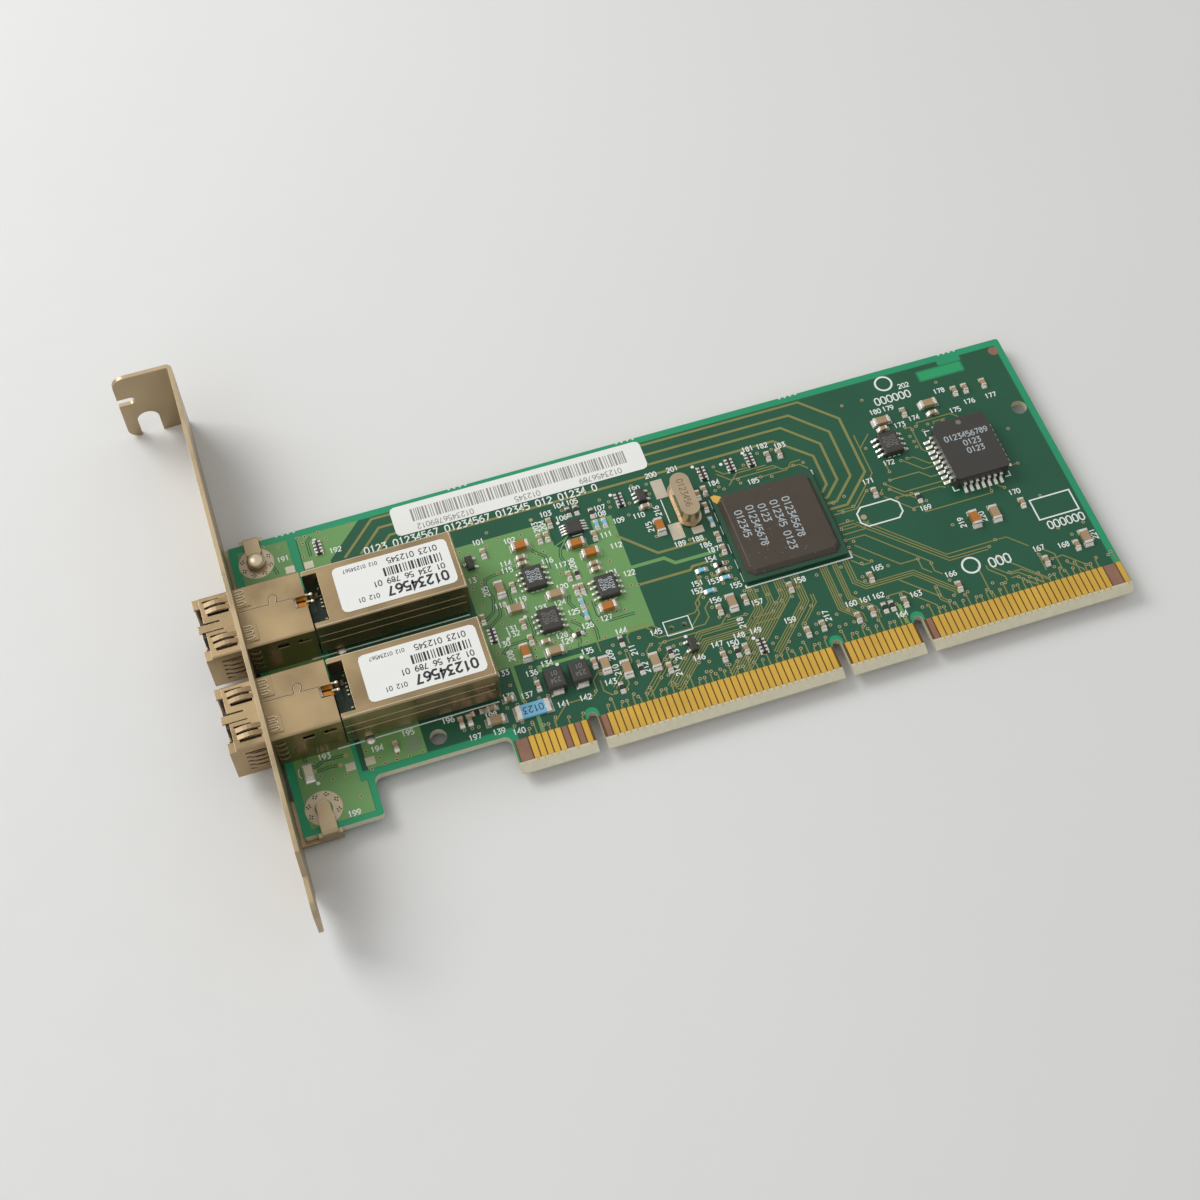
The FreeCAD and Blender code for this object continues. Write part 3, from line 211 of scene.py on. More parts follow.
class Effect:
    """Shader node groups that several finishes share, each built once."""

    @staticmethod
    def start(
        name: str, inputs: dict[str, tuple[str, float | tuple[float, ...]]], outputs: dict[str, str]
    ) -> tuple[Tree, Node, Node]:
        """Make an empty group with named sockets.

        Args:
            name: The group's name.
            inputs: Socket name to socket kind and default value.
            outputs: Socket name to socket kind.

        Returns:
            The tree, its input node and its output node.
        """
        tree = bpy.data.node_groups.new(name, "ShaderNodeTree")
        for label, (kind, value) in inputs.items():
            socket = tree.interface.new_socket(label, in_out="INPUT", socket_type="NodeSocket" + kind)
            socket.default_value = value
        for label, kind in outputs.items():
            tree.interface.new_socket(label, in_out="OUTPUT", socket_type="NodeSocket" + kind)
        return tree, tree.nodes.new("NodeGroupInput"), tree.nodes.new("NodeGroupOutput")

    @staticmethod
    @cache
    def mottle() -> Tree:
        """Build the group that varies a colour softly over the surface.

        Returns:
            The group.
        """
        inputs = {"Colour": ("Color", (0.5, 0.5, 0.5, 1)), "Scale": ("Float", 300.0), "Spread": ("Float", 0.1)}
        tree, given, result = Effect.start("soft_mottle", inputs, {"Colour": "Color", "Mask": "Float"})
        noise = add_node(tree, "TexNoise", Vector=object_place(tree), Scale=given.outputs["Scale"], Detail=3.0)
        centred = math_node(tree, "SUBTRACT", noise.outputs["Fac"], 0.5)
        swing = math_node(tree, "MULTIPLY", centred, given.outputs["Spread"])
        gain = math_node(tree, "ADD", swing, 1.0)
        tint = vector_node(tree, "SCALE", given.outputs["Colour"], gain)
        feed(tree, result, {"Colour": tint, "Mask": noise.outputs["Fac"]})
        return tree

    @staticmethod
    @cache
    def grain() -> Tree:
        """Build the group that makes fine height lines, stretched along X, Y or Z.

        Returns:
            The group.
        """
        inputs = {"Stretch": ("Vector", (1.0, 1.0, 1.0)), "Scale": ("Float", 2000.0)}
        tree, given, result = Effect.start("drawn_grain", inputs, {"Height": "Float", "Mask": "Float"})
        place = object_place(tree)
        stretched = vector_node(tree, "MULTIPLY", place, given.outputs["Stretch"])
        fine = add_node(tree, "TexNoise", Vector=stretched, Scale=given.outputs["Scale"], Detail=2.0)
        broad = add_node(tree, "TexNoise", Vector=place, Scale=120.0)
        feed(tree, result, {"Height": fine.outputs["Fac"], "Mask": broad.outputs["Fac"]})
        return tree

    @staticmethod
    @cache
    def dust() -> Tree:
        """Build the group that scatters fine dust specks.

        Returns:
            The group.
        """
        inputs = {"Scale": ("Float", 900.0), "Size": ("Float", 0.16), "Amount": ("Float", 0.5)}
        tree, given, result = Effect.start("dust_specks", inputs, {"Mask": "Float"})
        place = object_place(tree)
        cells = add_node(tree, "TexVoronoi", Vector=place, Scale=given.outputs["Scale"])
        patches = add_node(tree, "TexNoise", Vector=place, Scale=90.0)
        small = math_node(tree, "LESS_THAN", cells.outputs["Distance"], given.outputs["Size"])
        chosen = math_node(tree, "LESS_THAN", patches.outputs["Fac"], given.outputs["Amount"])
        feed(tree, result, {"Mask": math_node(tree, "MULTIPLY", small, chosen)})
        return tree

    @staticmethod
    @cache
    def weave() -> Tree:
        """Build the group that makes the faint weave of glass laminate.

        Returns:
            The group.
        """
        tree, given, result = Effect.start("glass_weave", {"Scale": ("Float", 1300.0)}, {"Height": "Float"})
        place = object_place(tree)
        heights = []
        for direction in ("X", "Y"):
            wave = add_node(tree, "TexWave", Vector=place, Scale=given.outputs["Scale"], Distortion=0.6)
            wave.bands_direction = direction
            heights.append(wave.outputs["Fac"])
        feed(tree, result, {"Height": math_node(tree, "MULTIPLY", *heights)})
        return tree

    @staticmethod
    @cache
    def edges() -> Tree:
        """Build the group that makes edges look rounded and masks where they are.

        Returns:
            The group.
        """
        inputs = {"Radius": ("Float", 0.0001)}
        tree, given, result = Effect.start("rounded_edges", inputs, {"Normal": "Vector", "Mask": "Float"})
        rounded = add_node(tree, "Bevel", Radius=given.outputs["Radius"])
        rounded.samples = 4
        true_normal = add_node(tree, "NewGeometry").outputs["Normal"]
        likeness = vector_node(tree, "DOT_PRODUCT", rounded.outputs["Normal"], true_normal)
        ramp = add_node(tree, "MapRange", Value=likeness, From_Min=0.82, From_Max=0.985, To_Min=1, To_Max=0)
        feed(tree, result, {"Normal": rounded.outputs["Normal"], "Mask": ramp.outputs["Result"]})
        return tree

    @staticmethod
    @cache
    def zone() -> Tree:
        """Build the group that masks an upright box with rounded corners, in millimetres.

        Returns:
            The group.
        """
        inputs = {
            "Centre": ("Vector", (0.0, 0.0, 0.0)),
            "Half Size": ("Vector", (1.0, 1.0, 1.0)),
            "Corner": ("Float", 0.5),
            "Softness": ("Float", 0.08),
        }
        tree, given, result = Effect.start("box_zone", inputs, {"Mask": "Float"})
        corner = given.outputs["Corner"]
        softness = given.outputs["Softness"]
        scaled = vector_node(tree, "SCALE", object_place(tree), MM_PER_METRE)
        flat = vector_node(tree, "MULTIPLY", scaled, (1.0, 1.0, 0.0))
        offset = vector_node(tree, "SUBTRACT", flat, given.outputs["Centre"])
        past = vector_node(tree, "SUBTRACT", vector_node(tree, "ABSOLUTE", offset), given.outputs["Half Size"])
        outside = vector_node(tree, "MAXIMUM", vector_node(tree, "ADD", past, corner))
        edge = math_node(tree, "SUBTRACT", vector_node(tree, "LENGTH", outside), corner)
        inner = math_node(tree, "MULTIPLY", softness, -1.0)
        ramp = add_node(tree, "MapRange", Value=edge, From_Min=inner, From_Max=softness, To_Min=1, To_Max=0)
        feed(tree, result, {"Mask": ramp.outputs["Result"]})
        return tree


# ------------------------------------------------------------------ finishes


class Grain(Enum):
    """How fine the height lines of a finish are: the scale of their noise."""

    PLAIN = 5000.0
    BRUSHED = 1500.0


@dataclass(frozen=True)
class Finish:
    """One surface finish with its colour, gloss and fine variation."""

    name: str
    colour: Colour
    roughness: float
    metallic: float = 0.0
    coat: float = 0.0
    spread: float = 0.12
    scale: float = 400.0
    grain: Grain = Grain.PLAIN
    stretch: Triple = (1.0, 1.0, 1.0)
    bump: float = 0.05
    gloss_spread: float = 0.08
    dust: float = 0.0
    shine: float = 0.5
    edge: float = 0.0
    # How strongly the rounded edges are painted paler, as a painted highlight.
    worn: float = 0.0

    def start(self) -> tuple[Material, Tree, Node]:
        """Make the material and set its shader's plain numbers.

        Returns:
            The material, its node tree and its shader.
        """
        material = bpy.data.materials.new(self.name)
        material.use_nodes = True
        tree = material.node_tree
        shader = tree.nodes["Principled BSDF"]
        plain = {"Metallic": self.metallic, "Roughness": self.roughness, "Specular IOR Level": self.shine}
        feed(tree, shader, plain | {"Coat Weight": self.coat, "Coat Roughness": COAT_ROUGHNESS})
        return material, tree, shader

    def rubbed(self) -> Colour:
        """Return the paler colour painted on rounded edges as a highlight."""
        return tuple(min(1.0, part * EDGE_HIGHLIGHT_GAIN + EDGE_HIGHLIGHT_LIFT) for part in self.colour)

    @staticmethod
    def mottled(tree: Tree, colour: Colour, scale: float, spread: float) -> Socket:
        """Return a colour that varies softly over the surface."""
        return placed(tree, Effect.mottle(), Colour=(*colour, 1), Scale=scale, Spread=spread).outputs["Colour"]

    def relief(self, tree: Tree, height: Socket) -> Node:
        """Add the node that turns fine heights into a normal."""
        return add_node(tree, "Bump", Strength=self.bump, Distance=BUMP_DISTANCE, Height=height)

    def build(self) -> Material:
        """Build the material, with its colour, gloss and height driven by shared effects.

        Returns:
            The material.
        """
        material, tree, shader = self.start()
        colour = self.mottled(tree, self.colour, self.scale, self.spread * 2)
        if self.dust > 0:
            specks = placed(tree, Effect.dust(), Amount=self.dust)
            cover = math_node(tree, "MULTIPLY", specks.outputs["Mask"], DUST_COVER)
            colour = blend(tree, colour, (*DUST_COLOUR, 1), cover)
        lines = placed(tree, Effect.grain(), Stretch=self.stretch, Scale=self.grain.value)
        bump = self.relief(tree, lines.outputs["Height"])
        # Rounded edges: the bevel rounds their shading, and a paler colour paints a highlight on them.
        if self.edge > 0:
            edges = placed(tree, Effect.edges(), Radius=self.edge * MM)
            cover = math_node(tree, "MULTIPLY", edges.outputs["Mask"], self.worn)
            colour = blend(tree, colour, (*self.rubbed(), 1), cover)
            feed(tree, bump, {"Normal": edges.outputs["Normal"]})
        gloss = add_node(
            tree, "MapRange", Value=lines.outputs["Mask"], From_Min=0.3, From_Max=0.7,
            To_Min=max(0.02, self.roughness - self.gloss_spread),
            To_Max=min(1.0, self.roughness + self.gloss_spread))
        normal = bump.outputs["Normal"]
        feed(tree, shader, {"Base Color": colour, "Roughness": gloss.outputs["Result"], "Normal": normal})
        return material


@dataclass(frozen=True)
class Zone:
    """A rounded box on the board, from one corner to the other, in board places."""

    low: Place
    high: Place
    corner: float = 0.3


@dataclass(frozen=True)
class LaminateFinish(Finish):
    """Solder mask over glass laminate: clear borders, dark planes and bare edges."""

    plane: Colour = paint(41, 89, 66)
    gap: Colour = paint(98, 70, 36)
    bare: Colour = paint(202, 196, 170)
    window: Colour = paint(50, 164, 106)
    planes: tuple[Zone, ...] = (
        Zone((-40.2, -5.5), (-30.3, 56.2)),
        Zone((-28.6, 2.75), (119.9, 56.2)),
        Zone((0.3, -0.6), (119.9, 3.2)),
        Zone((-30.6, -5.5), (-28.1, 1.0)),
    )
    clear: tuple[Zone, ...] = (
        Zone((13.3, -8.0), (15.9, 2.15), 1.25),
        Zone((61.6, -8.0), (64.2, 2.15), 1.25),
        Zone((78.1, -8.0), (80.7, 2.15), 1.25),
        Zone((106.9, 55.0), (112.0, 58.0), 0.4),
    )
    lit: Zone = Zone((101.9, 52.4), (111.6, 54.8), 0.3)
    tongue: Zone = Zone((-1.6, -8.0), (122.0, -4.62), 0.05)
    contacts: Zone = Zone((-0.75, -4.7), (121.2, 0.02), 0.05)

    def mask(self, tree: Tree, zone: Zone, softness: float = 0.12) -> Socket:
        """Mask one zone.

        Args:
            tree: The material's node tree.
            zone: The zone.
            softness: How far its border is blurred, in millimetres.

        Returns:
            The mask.
        """
        low = spot(*zone.low, 0.0) * MM_PER_METRE
        high = spot(*zone.high, 0.0) * MM_PER_METRE
        centre = ((low.x + high.x) / 2, (low.y + high.y) / 2, 0.0)
        half_size = ((high.x - low.x) / 2, (high.y - low.y) / 2, 50.0)
        sizes = {"Centre": centre, "Half_Size": half_size, "Corner": zone.corner, "Softness": softness}
        return placed(tree, Effect.zone(), **sizes).outputs["Mask"]

    def joined(self, tree: Tree, zones: tuple[Zone, ...]) -> Socket:
        """Mask several zones at once.

        Args:
            tree: The material's node tree.
            zones: The zones.

        Returns:
            The mask that covers them all.
        """
        total = self.mask(tree, zones[0])
        for zone in zones[1:]:
            total = math_node(tree, "MAXIMUM", total, self.mask(tree, zone))
        return total

    def build(self) -> Material:
        """Build the board's material, each layer over the last.

        Returns:
            The material.
        """
        material, tree, shader = self.start()
        planes = self.joined(tree, self.planes)
        kept = math_node(tree, "SUBTRACT", 1.0, self.joined(tree, self.clear))
        layers = (
            (self.plane, 60.0, 0.35, math_node(tree, "MULTIPLY", planes, kept)),
            (self.window, 120.0, 0.2, self.mask(tree, self.lit, 0.35)),
            (self.gap, 900.0, 0.3, self.mask(tree, self.contacts, 0.05)),
            (self.bare, 900.0, 0.25, self.mask(tree, self.tongue, 0.05)),
            (self.bare, 900.0, 0.25, self.upright(tree)),
        )
        colour = self.mottled(tree, self.colour, 45.0, 0.3)
        for tint, scale, spread, mask in layers:
            colour = blend(tree, colour, self.mottled(tree, tint, scale, spread), mask)
        weave = placed(tree, Effect.weave())
        bump = self.relief(tree, weave.outputs["Height"])
        feed(tree, shader, {"Base Color": colour, "Normal": bump.outputs["Normal"]})
        return material

    @staticmethod
    def upright(tree: Tree) -> Socket:
        """Mask the board's cut edges.

        Args:
            tree: The material's node tree.

        Returns:
            The mask.
        """
        geometry = add_node(tree, "NewGeometry")
        split = add_node(tree, "SeparateXYZ", Vector=geometry.outputs["Normal"])
        facing = math_node(tree, "ABSOLUTE", split.outputs["Z"])
        return math_node(tree, "LESS_THAN", facing, 0.7)


@dataclass(frozen=True)
class Finishes:
    """Every finish of the card, by the part that wears it."""

    laminate: Finish = LaminateFinish("mask_over_laminate", paint(46, 150, 106), 0.36, bump=0.12, shine=0.3)
    pour: Finish = Finish("mask_over_copper", paint(112, 156, 96), 0.36, spread=0.14, scale=55.0, shine=0.3)
    trace: Finish = Finish("mask_over_trace", paint(134, 134, 82), 0.36, spread=0.14, scale=200.0, shine=0.3)
    ring: Finish = Finish("tinned_via", paint(170, 160, 120), 0.42, metallic=0.2, scale=3000.0)
    # Dark discs where the vias are open: painted shade inside the holes.
    hole: Finish = Finish("open_via", paint(34, 40, 28), 0.8, spread=0.3, scale=2500.0)
    silk: Finish = Finish("board_print", paint(236, 240, 234), 0.6, spread=0.06, scale=1500.0, bump=0.15)
    gold: Finish = Finish(
        "contact_gold", paint(224, 180, 82), 0.3, metallic=0.8, spread=0.2, scale=140.0,
        grain=Grain.BRUSHED, stretch=(1.0, 0.06, 1.0), bump=0.12)
    bracket: Finish = Finish(
        "plated_sheet", paint(168, 150, 120), 0.36, metallic=0.85, spread=0.2, scale=90.0,
        grain=Grain.BRUSHED, stretch=(1.0, 0.05, 1.0), bump=0.16, gloss_spread=0.12, edge=0.12, worn=0.7)
    cage: Finish = Finish(
        "nickel_sheet", paint(164, 142, 108), 0.3, metallic=0.9, spread=0.22, scale=130.0,
        grain=Grain.BRUSHED, stretch=(0.06, 1.0, 1.0), bump=0.12, gloss_spread=0.12, edge=0.14, worn=0.75)
    # Paler copy of the sheet metal: a painted highlight on sheet edges, the can's steps, the hook loops and
    # the clip's button; the flexible strips' leads wear it as their own tinned metal.
    bright: Finish = Finish(
        "bright_sheet_edge", paint(214, 200, 172), 0.22, metallic=0.9, scale=700.0, edge=0.05)
    spring: Finish = Finish(
        "spring_sheet", paint(156, 134, 102), 0.46, metallic=0.45, spread=0.15, scale=300.0)
    seam: Finish = Finish("sheet_seam", paint(66, 52, 34), 0.5, metallic=0.4, scale=900.0)
    receptacle: Finish = Finish("dark_moulding", paint(58, 42, 30), 0.5, scale=700.0, spread=0.2)
    ceramic: Finish = Finish("white_ceramic", paint(236, 234, 228), 0.35, spread=0.05)
    barrel: Finish = Finish("turned_steel", paint(190, 188, 184), 0.25, metallic=1.0, grain=Grain.BRUSHED)
    inner_board: Finish = Finish("inner_mask", paint(24, 66, 46), 0.4, coat=0.2, spread=0.4, scale=900.0)
    amber: Finish = Finish("amber_film", paint(212, 134, 34), 0.35, coat=0.2, spread=0.3, scale=600.0)
    substrate: Finish = Finish(
        "chip_laminate", paint(34, 78, 56), 0.4, spread=0.2, scale=300.0, edge=0.1, worn=0.3)
    resin: Finish = Finish(
        "chip_resin", paint(68, 60, 50), 0.44, spread=0.12, scale=500.0, bump=0.3, dust=0.46, edge=0.3,
        worn=0.55)
    flash_resin: Finish = Finish(
        "memory_resin", paint(58, 56, 52), 0.48, spread=0.1, scale=500.0, bump=0.3, dust=0.4, edge=0.16,
        worn=0.4)
    solder: Finish = Finish(
        "tin_solder", paint(224, 220, 212), 0.28, metallic=0.8, spread=0.3, scale=900.0, bump=0.3,
        edge=0.12)
    pad: Finish = Finish("tinned_pad", paint(202, 192, 172), 0.34, metallic=0.4, spread=0.15, scale=1200.0)
    ring_pad: Finish = Finish(
        "tinned_ring", paint(182, 166, 140), 0.34, metallic=0.5, spread=0.22, scale=500.0)
    brown: Finish = Finish(
        "brown_chip_ceramic", paint(178, 110, 42), 0.42, spread=0.22, scale=900.0, edge=0.15, worn=0.2)
    tan: Finish = Finish(
        "tan_chip_ceramic", paint(168, 142, 108), 0.42, spread=0.16, scale=900.0, edge=0.15, worn=0.2)
    dark: Finish = Finish("dark_glaze", paint(46, 42, 42), 0.36, scale=1200.0, edge=0.08, worn=0.2)
    blue: Finish = Finish(
        "blue_glaze", paint(126, 192, 226), 0.36, spread=0.12, scale=900.0, edge=0.08, worn=0.2)
    blank: Finish = Finish(
        "blank_contact_place", paint(142, 104, 84), 0.42, spread=0.25, scale=500.0, grain=Grain.BRUSHED,
        stretch=(1.0, 0.06, 1.0), bump=0.1)
    covered: Finish = Finish("covered_pad", paint(122, 146, 114), 0.36, spread=0.14, scale=300.0, shine=0.3)
    moat: Finish = Finish("mask_over_moat", paint(40, 84, 60), 0.36, spread=0.2, scale=200.0, shine=0.3)
    faint: Finish = Finish("faint_chip_print", paint(120, 118, 112), 0.6, spread=0.15, scale=2000.0)
    engraved: Finish = Finish(
        "engraved_print", paint(112, 92, 64), 0.5, metallic=0.4, spread=0.15, scale=2000.0)
    crystal: Finish = Finish(
        "drawn_can", paint(192, 172, 142), 0.26, metallic=0.88, spread=0.1, scale=200.0, bump=0.04)
    lens: Finish = Finish("clear_resin", paint(226, 226, 196), 0.2, coat=0.6, spread=0.08)
    paper: Finish = Finish("label_paper", paint(238, 239, 234), 0.55, spread=0.03, scale=120.0, bump=0.08)
    ink: Finish = Finish("label_ink", paint(44, 44, 46), 0.6, spread=0.2, scale=1500.0)
    grey_ink: Finish = Finish("grey_label_ink", paint(150, 148, 142), 0.6, spread=0.15, scale=1500.0)
    chip_print: Finish = Finish("chip_print", paint(176, 186, 190), 0.6, spread=0.15, scale=2000.0)
    mark: Finish = Finish("gold_mark", paint(232, 186, 92), 0.35, metallic=0.5, spread=0.1)
    floor: Finish = Finish("pale_floor", paint(226, 226, 224), 0.8, spread=0.02, scale=8.0, bump=0.02)

    def materials(self) -> Wear:
        """Build every finish and return the materials by field name."""
        return {name: getattr(self, name).build() for name in self.__dataclass_fields__}


# ------------------------------------------------------------------ mesh work


def to_piece(name: str, mesh: Mesh, material: Material) -> bpy.types.Object:
    """Turn a finished mesh into a piece that rides on the card.

    Args:
        name: The piece's name.
        mesh: The mesh, in metres; it is freed.
        material: Its material.

    Returns:
        The new object.
    """
    bmesh.ops.recalc_face_normals(mesh, faces=mesh.faces)
    data = bpy.data.meshes.new(name)
    mesh.to_mesh(data)
    mesh.free()
    piece = bpy.data.objects.new(name, data)
    bpy.context.scene.collection.objects.link(piece)
    data.materials.append(material)
    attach(piece, "root")
    log.info("piece %s: %d faces", name, len(data.polygons))
    return piece


def skin(mesh: Mesh, loops: list[list[bmesh.types.BMVert]], capped: bool = True) -> None:
    """Join loops of points, each to the next, with four cornered faces.

    Args:
        mesh: The mesh that the points are in.
        loops: The loops, all with the same number of points.
        capped: Whether the first and the last loop are closed with a face each, or joined to each other.
    """
    if capped:
        mesh.faces.new(loops[0])
        mesh.faces.new(list(reversed(loops[-1])))
    else:
        loops = loops + loops[:1]
    for start, finish in zip(loops, loops[1:]):
        for number in range(len(start)):
            after = (number + 1) % len(start)
            mesh.faces.new((start[number], start[after], finish[after], finish[number]))


def circle(u: float, v: float, radius: float, sides: int) -> list[Place]:
    """Return the corners of an even, many sided shape round a place."""
    turn = 2 * math.pi / sides
    return [(u + radius * math.cos(n * turn), v + radius * math.sin(n * turn)) for n in range(sides)]


def levels(mesh: Mesh, rings: list[tuple[list[Place], float]]) -> list[list[bmesh.types.BMVert]]:
    """Add the points of several loops, each at its own height.

    Args:
        mesh: The mesh they join.
        rings: The board places of each loop, and its height.

    Returns:
        The loops of new points.
    """
    return [[mesh.verts.new(spot(u, v, height)) for u, v in places] for places, height in rings]


class FlatWork:
    """Thin printed or plated shapes at one height of the board, gathered in one mesh."""

    LIFT = 0.0008
    LIFTS = 12

    def __init__(self, low: float, high: float) -> None:
        """Start the work.

        Args:
            low: Height of the shapes' lower faces in millimetres.
            high: Height of their upper faces.
        """
        self.mesh = bmesh.new()
        self.low = low
        self.high = high
        self.count = 0

    def outline(self, corners: list[Place]) -> None:
        """Add one closed shape; each lies a hair above the last, so none flicker where they cross.

        Args:
            corners: The shape's corners.
        """
        self.count += 1
        top = self.high + self.LIFT * (self.count % self.LIFTS)
        skin(self.mesh, levels(self.mesh, [(corners, top), (corners, self.low)]))

    def box(self, low: Place, high: Place) -> None:
        """Add one rectangle between two corners."""
        self.outline([low, (high[0], low[1]), high, (low[0], high[1])])

    def disc(self, u: float, v: float, radius: float, sides: int = 16) -> None:
        """Add one round dot."""
        self.outline(circle(u, v, radius, sides))

    def ring(self, u: float, v: float, outer: float, inner: float, sides: int = 16) -> None:
        """Add one flat ring.

        Args:
            u: Place along the card.
            v: Place above the contacts.
            outer: Outer radius.
            inner: Inner radius.
            sides: How many sides the ring has.
        """
        section = ((inner, self.low), (inner, self.high), (outer, self.high), (outer, self.low))
        loops = levels(self.mesh, [(circle(u, v, radius, sides), height) for radius, height in section])
        skin(self.mesh, loops, capped=False)

    def line(self, points: list[Place], width: float, closed: bool = False) -> None:
        """Add one line of even width with mitred corners.

        Args:
            points: The places the line passes through.
            width: Its width.
            closed: Whether it returns to its first place.
        """
        if closed:
            outer = offset_line(points + points[:2], width / 2)[1:-1]
            inner = offset_line(points + points[:2], -width / 2)[1:-1]
            for number in range(len(outer)):
                after = (number + 1) % len(outer)
                self.outline([outer[number], outer[after], inner[after], inner[number]])
            return
        left = offset_line(points, width / 2)
        right = offset_line(points, -width / 2)
        self.outline(left + right[::-1])

    def bundle(self, points: list[Place], count: int, step: float, width: float) -> None:
        """Add several parallel lines side by side along one path.

        Args:
            points: The middle path.
            count: How many lines.
            step: Distance from one line to the next.
            width: Width of each line.
        """
        for number in range(count):
            self.line(offset_line(points, (number - (count - 1) / 2) * step), width)

    def piece(self, name: str, material: Material, slot: str) -> bpy.types.Object:
        """Turn the gathered shapes into one piece."""
        return to_piece(name, self.mesh, material)


def offset_line(points: list[Place], distance: float) -> list[Place]:
    """Move a path sideways, with mitred corners.

    Args:
        points: The path.
        distance: How far it moves to its left.

    Returns:
        The moved path.
    """
    nearly_nothing = 1e-9
    sharpest = 0.3
    moved = []
    for number, (u, v) in enumerate(points):
        before = points[max(0, number - 1)]
        after = points[min(len(points) - 1, number + 1)]
        first = Vector((u - before[0], v - before[1]))
        second = Vector((after[0] - u, after[1] - v))
        if first.length < nearly_nothing:
            first = second
        if second.length < nearly_nothing:
            second = first
        first.normalize()
        second.normalize()
        side = Vector((-first.y - second.y, first.x + second.x))
        side.normalize()
        reach = distance / max(sharpest, side.dot(Vector((-first.y, first.x))))
        moved.append((u + side.x * reach, v + side.y * reach))
    return moved


def islands(node: str) -> list[Box]:
    """Find the boxes of a node's separate solids.

    Args:
        node: The node's name.

    Returns:
        The lowest and the highest corner of each, in millimetres of the row frame, sorted along X.
    """
    steps_per_metre = 1e6
    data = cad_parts[node].data
    keys = [tuple(round(value * steps_per_metre) for value in vertex.co) for vertex in data.vertices]
    parent = {key: key for key in keys}

    def root(key: tuple[int, int, int]) -> tuple[int, int, int]:
        """Follow a point to the head of its group.

        Args:
            key: The point, in thousandths of a millimetre.

        Returns:
            The group's first point.
        """
        while parent[key] != key:
            parent[key] = parent[parent[key]]
            key = parent[key]
        return key

    for polygon in data.polygons:
        first = root(keys[polygon.vertices[0]])
        for index in polygon.vertices[1:]:
            parent[root(keys[index])] = first
    groups: dict[tuple[int, int, int], list[Vector]] = {}
    for key in parent:
        groups.setdefault(root(key), []).append(Vector(key) / (steps_per_metre * MM))
    boxes = []
    for points in groups.values():
        low = Vector([min(point[axis] for point in points) for axis in range(3)])
        high = Vector([max(point[axis] for point in points) for axis in range(3)])
        boxes.append((low, high))
    return sorted(boxes, key=lambda box: tuple(box[0]))


def middles(node: str) -> list[Vector]:
    """Return the middles of a node's separate solids, in millimetres of the row frame."""
    return [(low + high) / 2 for low, high in islands(node)]


def round_form(mesh: Mesh, u: float, v: float, profile: list[Place], sides: int = 20) -> None:
    """Add an upright round solid.

    Args:
        mesh: The mesh it joins.
        u: Its middle along the card.
        v: Its middle above the contacts.
        profile: Radius and height of each level, from one end to the other.
        sides: How many sides it has.
    """
    skin(mesh, levels(mesh, [(circle(u, v, radius, sides), height) for radius, height in profile]))


def rectangle(low: Vector | tuple[float, ...], high: Vector | tuple[float, ...]) -> list[Place]:
    """Return the four corners of an upright rectangle between two corners."""
    return [(low[0], low[1]), (high[0], low[1]), (high[0], high[1]), (low[0], high[1])]


def block(mesh: Mesh, low: Triple, high: Triple) -> None:
    """Add a plain block between two corners given as board places and heights."""
    corners = rectangle(low, high)
    skin(mesh, levels(mesh, [(corners, high[2]), (corners, low[2])]))


# ------------------------------------------------------------------ the board's print and copper


